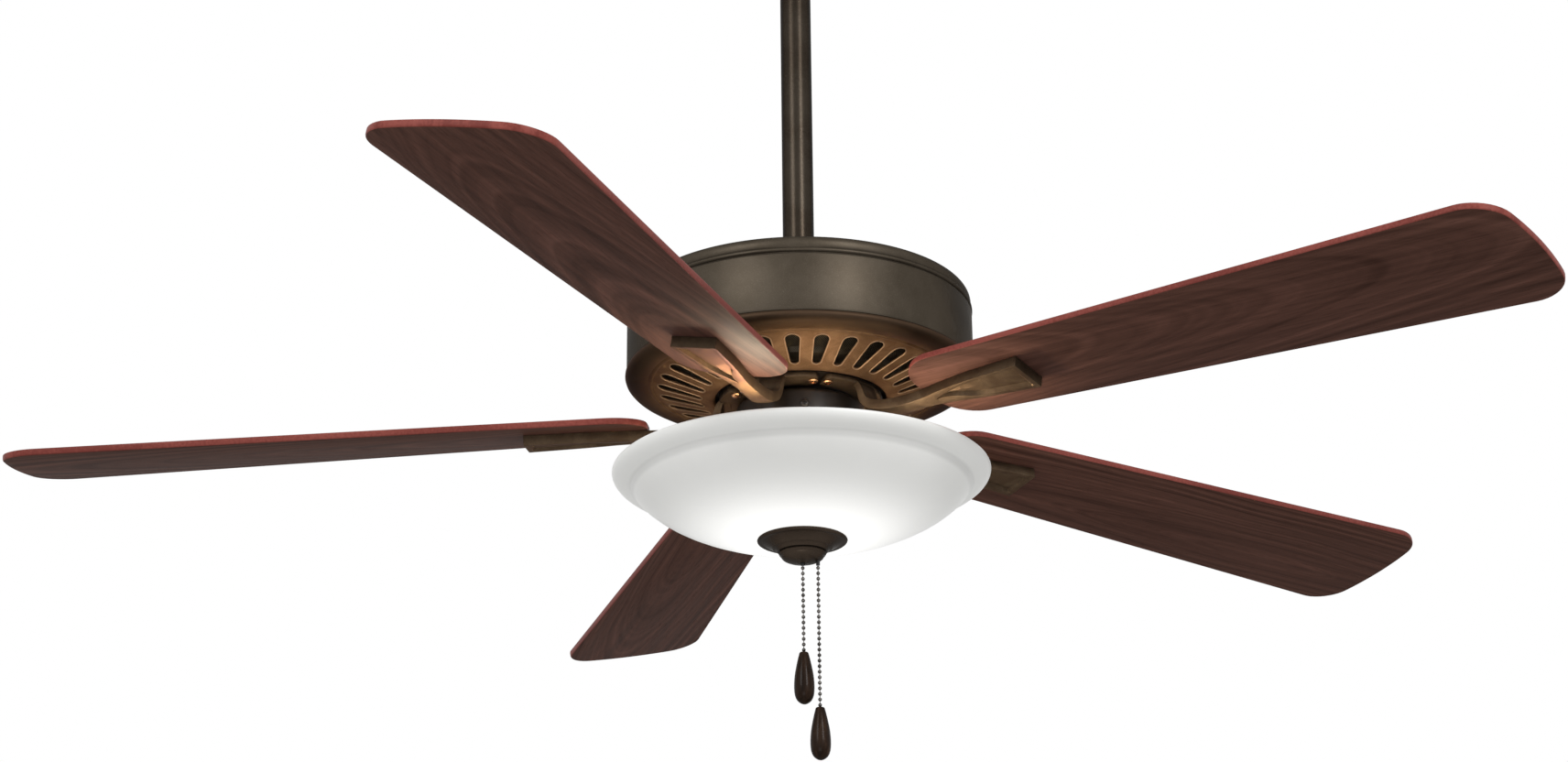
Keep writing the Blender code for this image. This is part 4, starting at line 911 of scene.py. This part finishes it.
def makeFinial(c):
    glass = bowlHeight(glassBowl, c["edgeAt"])
    profile = [(c["hole"], c["seat"]), (c["seatTo"], c["seat"])]
    profile += [(radius, bowlHeight(glassBowl, radius) + drop) for radius, drop in c["onGlass"]]
    profile += outFrom(0, c["edge"], glass) + c["face"]
    mount(turned(profile, c["sides"]), "finialPlate", "finialBronze", "motor_frame", ["finial_cap"])
    knob, top, low, waist = c["knob"], c["knobTop"], c["knobLow"], c["knobWaist"]
    angles = [math.radians(angle) for angle in c["knobAngles"]]
    profile = [(c["knobNose"], low)]
    profile += [(knob * 0.93 * math.cos(a), top - waist - (top - low - waist) * math.sin(a)) for a in angles]
    profile += [(knob * 0.95, top - 0.0027)] + outFrom(knob, c["knobLip"], top)
    finial = turned(profile, c["sides"], hollow=False)
    for x in c["eyelets"]:               # the two chains come out through them
        pickNothing()
        bpy.ops.mesh.primitive_cylinder_add(vertices=24, radius=c["eyelet"], depth=0.03,
                                            location=(x, 0, hubZ + low))
        drill = bpy.context.object
        bpy.ops.object.transform_apply(location=True)
        cutAway(finial, drill)
    mount(finial, "finialButton", "finialBronze", "motor_frame", ["finial_knob"])


makeBowl(glassBowl)
makeFinial(finialParts)
print("cup, bowl and finial made")

chainParts = {"bead": 0.0016, "squeeze": 0.98, "pitch": 0.0047, "link": 0.0004, "linkSides": 10,
              "drop": 0.0006, "runs": {"fan": (0.0, 0.0724), "light": (0.0125, 0.1184)},
              "pathSteps": 20}
fobParts = {
    "length": 0.0432, "radius": 0.0083, "sides": 48, "gap": 0.0003,
    "outline": [(0.0, 0.26), (0.004, 0.37), (0.012, 0.43), (0.030, 0.465), (0.060, 0.505), (0.117, 0.585),
                (0.18, 0.66), (0.247, 0.735), (0.31, 0.80), (0.377, 0.867), (0.44, 0.92), (0.506, 0.957),
                (0.57, 0.985), (0.636, 1.0), (0.70, 1.0), (0.766, 0.98), (0.83, 0.93), (0.885, 0.835),
                (0.93, 0.70), (0.965, 0.51), (0.99, 0.29), (1.0, 0.12)]}       # shares of length and radius


def makeFob(c, x, top):
    profile = [(width * c["radius"], top - along * c["length"]) for along, width in c["outline"]]
    return turned(profile, c["sides"], hollow=False, centre=(x, 0), level=0)


def rowDown(piece, count, pitch):
    modify(piece, "ARRAY", count=count, use_relative_offset=False, use_constant_offset=True,
           constant_offset_displace=(0, 0, -pitch))


def makeChains(c):
    for use, (x, length) in c["runs"].items():
        start = chainTopZ - c["drop"]
        middle = start - c["bead"]
        beads = round((length - 2 * c["bead"]) / c["pitch"])
        pitch = (length - 2 * c["bead"]) / beads
        pickNothing()
        bpy.ops.mesh.primitive_ico_sphere_add(subdivisions=3, radius=c["bead"], location=(x, 0, middle))
        bead = bpy.context.object
        openMesh(bead)
        bpy.ops.transform.resize(value=(c["squeeze"], c["squeeze"], 1.0), center_override=(x, 0, middle))
        closeMesh()
        bpy.ops.object.transform_apply(location=True)
        link = turned([(c["link"], middle - pitch), (c["link"], middle)], c["linkSides"], hollow=False,
                      centre=(x, 0), level=0)
        rowDown(bead, beads + 1, pitch)
        rowDown(link, beads, pitch)
        run = mount(joined([bead, link]), f"{use}ChainRun", "chain", f"{use}_chain_run", [f"{use}_chain"],
                    smooth=60)
        fob = mount(makeFob(fobParts, x, start - length - fobParts["gap"]), f"{use}Fob", "stained_wood",
                    f"{use}_chain_run", [f"{use}_fob"])
        line = [(x, 0, start - length * step / c["pathSteps"]) for step in range(c["pathSteps"] + 1)]


makeChains(chainParts)
print("chains hung")

slotOf = {part["node"]: part["material_slot"] for part in frame["record"]["subparts"]}
for name, node in frame["nodes"].items():     # carried-over nodes take their slot's finish
    if not node.hide_render:
        node.data.materials.clear()
        node.data.materials.append(finishes[slotOf[name]])

lampParts = {                            # fills: azimuth and power; beams: azimuth, aimed azimuth and power
    "fills": [(250, 0.10), (285, 0.10), (30, 0.05), (110, 0.05), (180, 0.05)],
    "beams": [(210, 250, 3.2), (250, 250, 1.7), (290, 250, 1.5), (322, 322, 2.6), (285, 322, 1.6),
              (34, 34, 0.2), (106, 106, 0.3), (178, 178, 0.3)],
    "fillRadius": 0.085, "fillHeight": -0.014, "beamRadius": 0.050, "beamHeight": -0.058,
    "aimRadius": 0.215, "aimHeight": 0.006, "cone": 62.0, "size": 0.03, "colour": (1.0, 0.86, 0.64)}
studioParts = {
    "floor": hubZ - 8.0, "floorSize": 240.0, "ambient": 0.70,
    "softs": {"keySoft": ((1.50, -2.50, 1.15), (0.65, 1.3), 44),
              "frontSoft": ((-0.3, -2.7, -1.1), (1.6, 1.0), 12),
              "leftSoft": ((-1.60, -2.20, 1.10), (0.85, 1.3), 30)}}       # place from the hub, size and power


def addSoft(name, offset, size, power):
    hub = Vector((0, 0, hubZ))
    bpy.ops.object.light_add(type="AREA", location=hub + Vector(offset))
    lamp = bpy.context.object
    lamp.name = name
    lamp.rotation_euler = (-Vector(offset)).to_track_quat("-Z", "Y").to_euler()
    lamp.data.shape = "RECTANGLE"
    lamp.data.size, lamp.data.size_y = size
    lamp.data.energy = power


def makeStudio(c):
    pickNothing()
    bpy.ops.mesh.primitive_plane_add(size=c["floorSize"], location=(0, 0, c["floor"]))
    floor = bpy.context.object
    floor.name = "studioFloor"
    paper = Finish("studioPaper", Roughness=0.85)
    grain = paper.noise(paper.place(), 60, 3.0)
    sheet = paper.blend(grain, (0.86, 0.86, 0.85), (0.90, 0.90, 0.89))
    floor.data.materials.append(paper.give(Base_Color=sheet))
    world = bpy.data.worlds.new("studioAir")
    world.use_nodes = True
    bpy.context.scene.world = world
    nodes, links = world.node_tree.nodes, world.node_tree.links
    air = nodes["Background"]
    air.inputs["Color"].default_value = (1, 1, 1, 1)
    rays = nodes.new("ShaderNodeLightPath")
    seen = Wire(world.node_tree, rays.outputs["Is Camera Ray"])
    for kind in ("Is Glossy Ray", "Is Transmission Ray"):
        seen = seen.join("MAXIMUM", Wire(world.node_tree, rays.outputs[kind]))
    feed(world.node_tree, air.inputs["Strength"], seen * (1 - c["ambient"]) + c["ambient"])
    for name, (offset, size, power) in c["softs"].items():
        addSoft(name, offset, size, power)


def addLamp(c, kind, name, azimuth, radius, height, power):
    angle = math.radians(azimuth)
    spot = (radius * math.cos(angle), radius * math.sin(angle), hubZ + height)
    bpy.ops.object.light_add(type=kind, location=spot)
    lamp = bpy.context.object
    lamp.name = name
    lamp.visible_camera = False
    lamp.data.energy, lamp.data.color, lamp.data.shadow_soft_size = power, c["colour"], c["size"]
    return lamp


def makeLamps(c):                        # the light's own glow, up through the open bowl
    for index, (azimuth, power) in enumerate(c["fills"]):
        addLamp(c, "POINT", f"bowlFill{index + 1}", azimuth, c["fillRadius"], c["fillHeight"], power)
    for index, (azimuth, blade, power) in enumerate(c["beams"]):
        lamp = addLamp(c, "SPOT", f"bladeBeam{index + 1}", azimuth, c["beamRadius"], c["beamHeight"], power)
        angle, out = math.radians(blade), c["aimRadius"]
        target = Vector((out * math.cos(angle), out * math.sin(angle), hubZ + c["aimHeight"]))
        lamp.rotation_euler = (target - lamp.location).to_track_quat("-Z", "Y").to_euler()
        lamp.data.spot_size, lamp.data.spot_blend = math.radians(c["cone"]), 1.0


makeStudio(studioParts)
makeLamps(lampParts)
bpy.context.scene.view_settings.view_transform = "Standard"
print("studio lit")
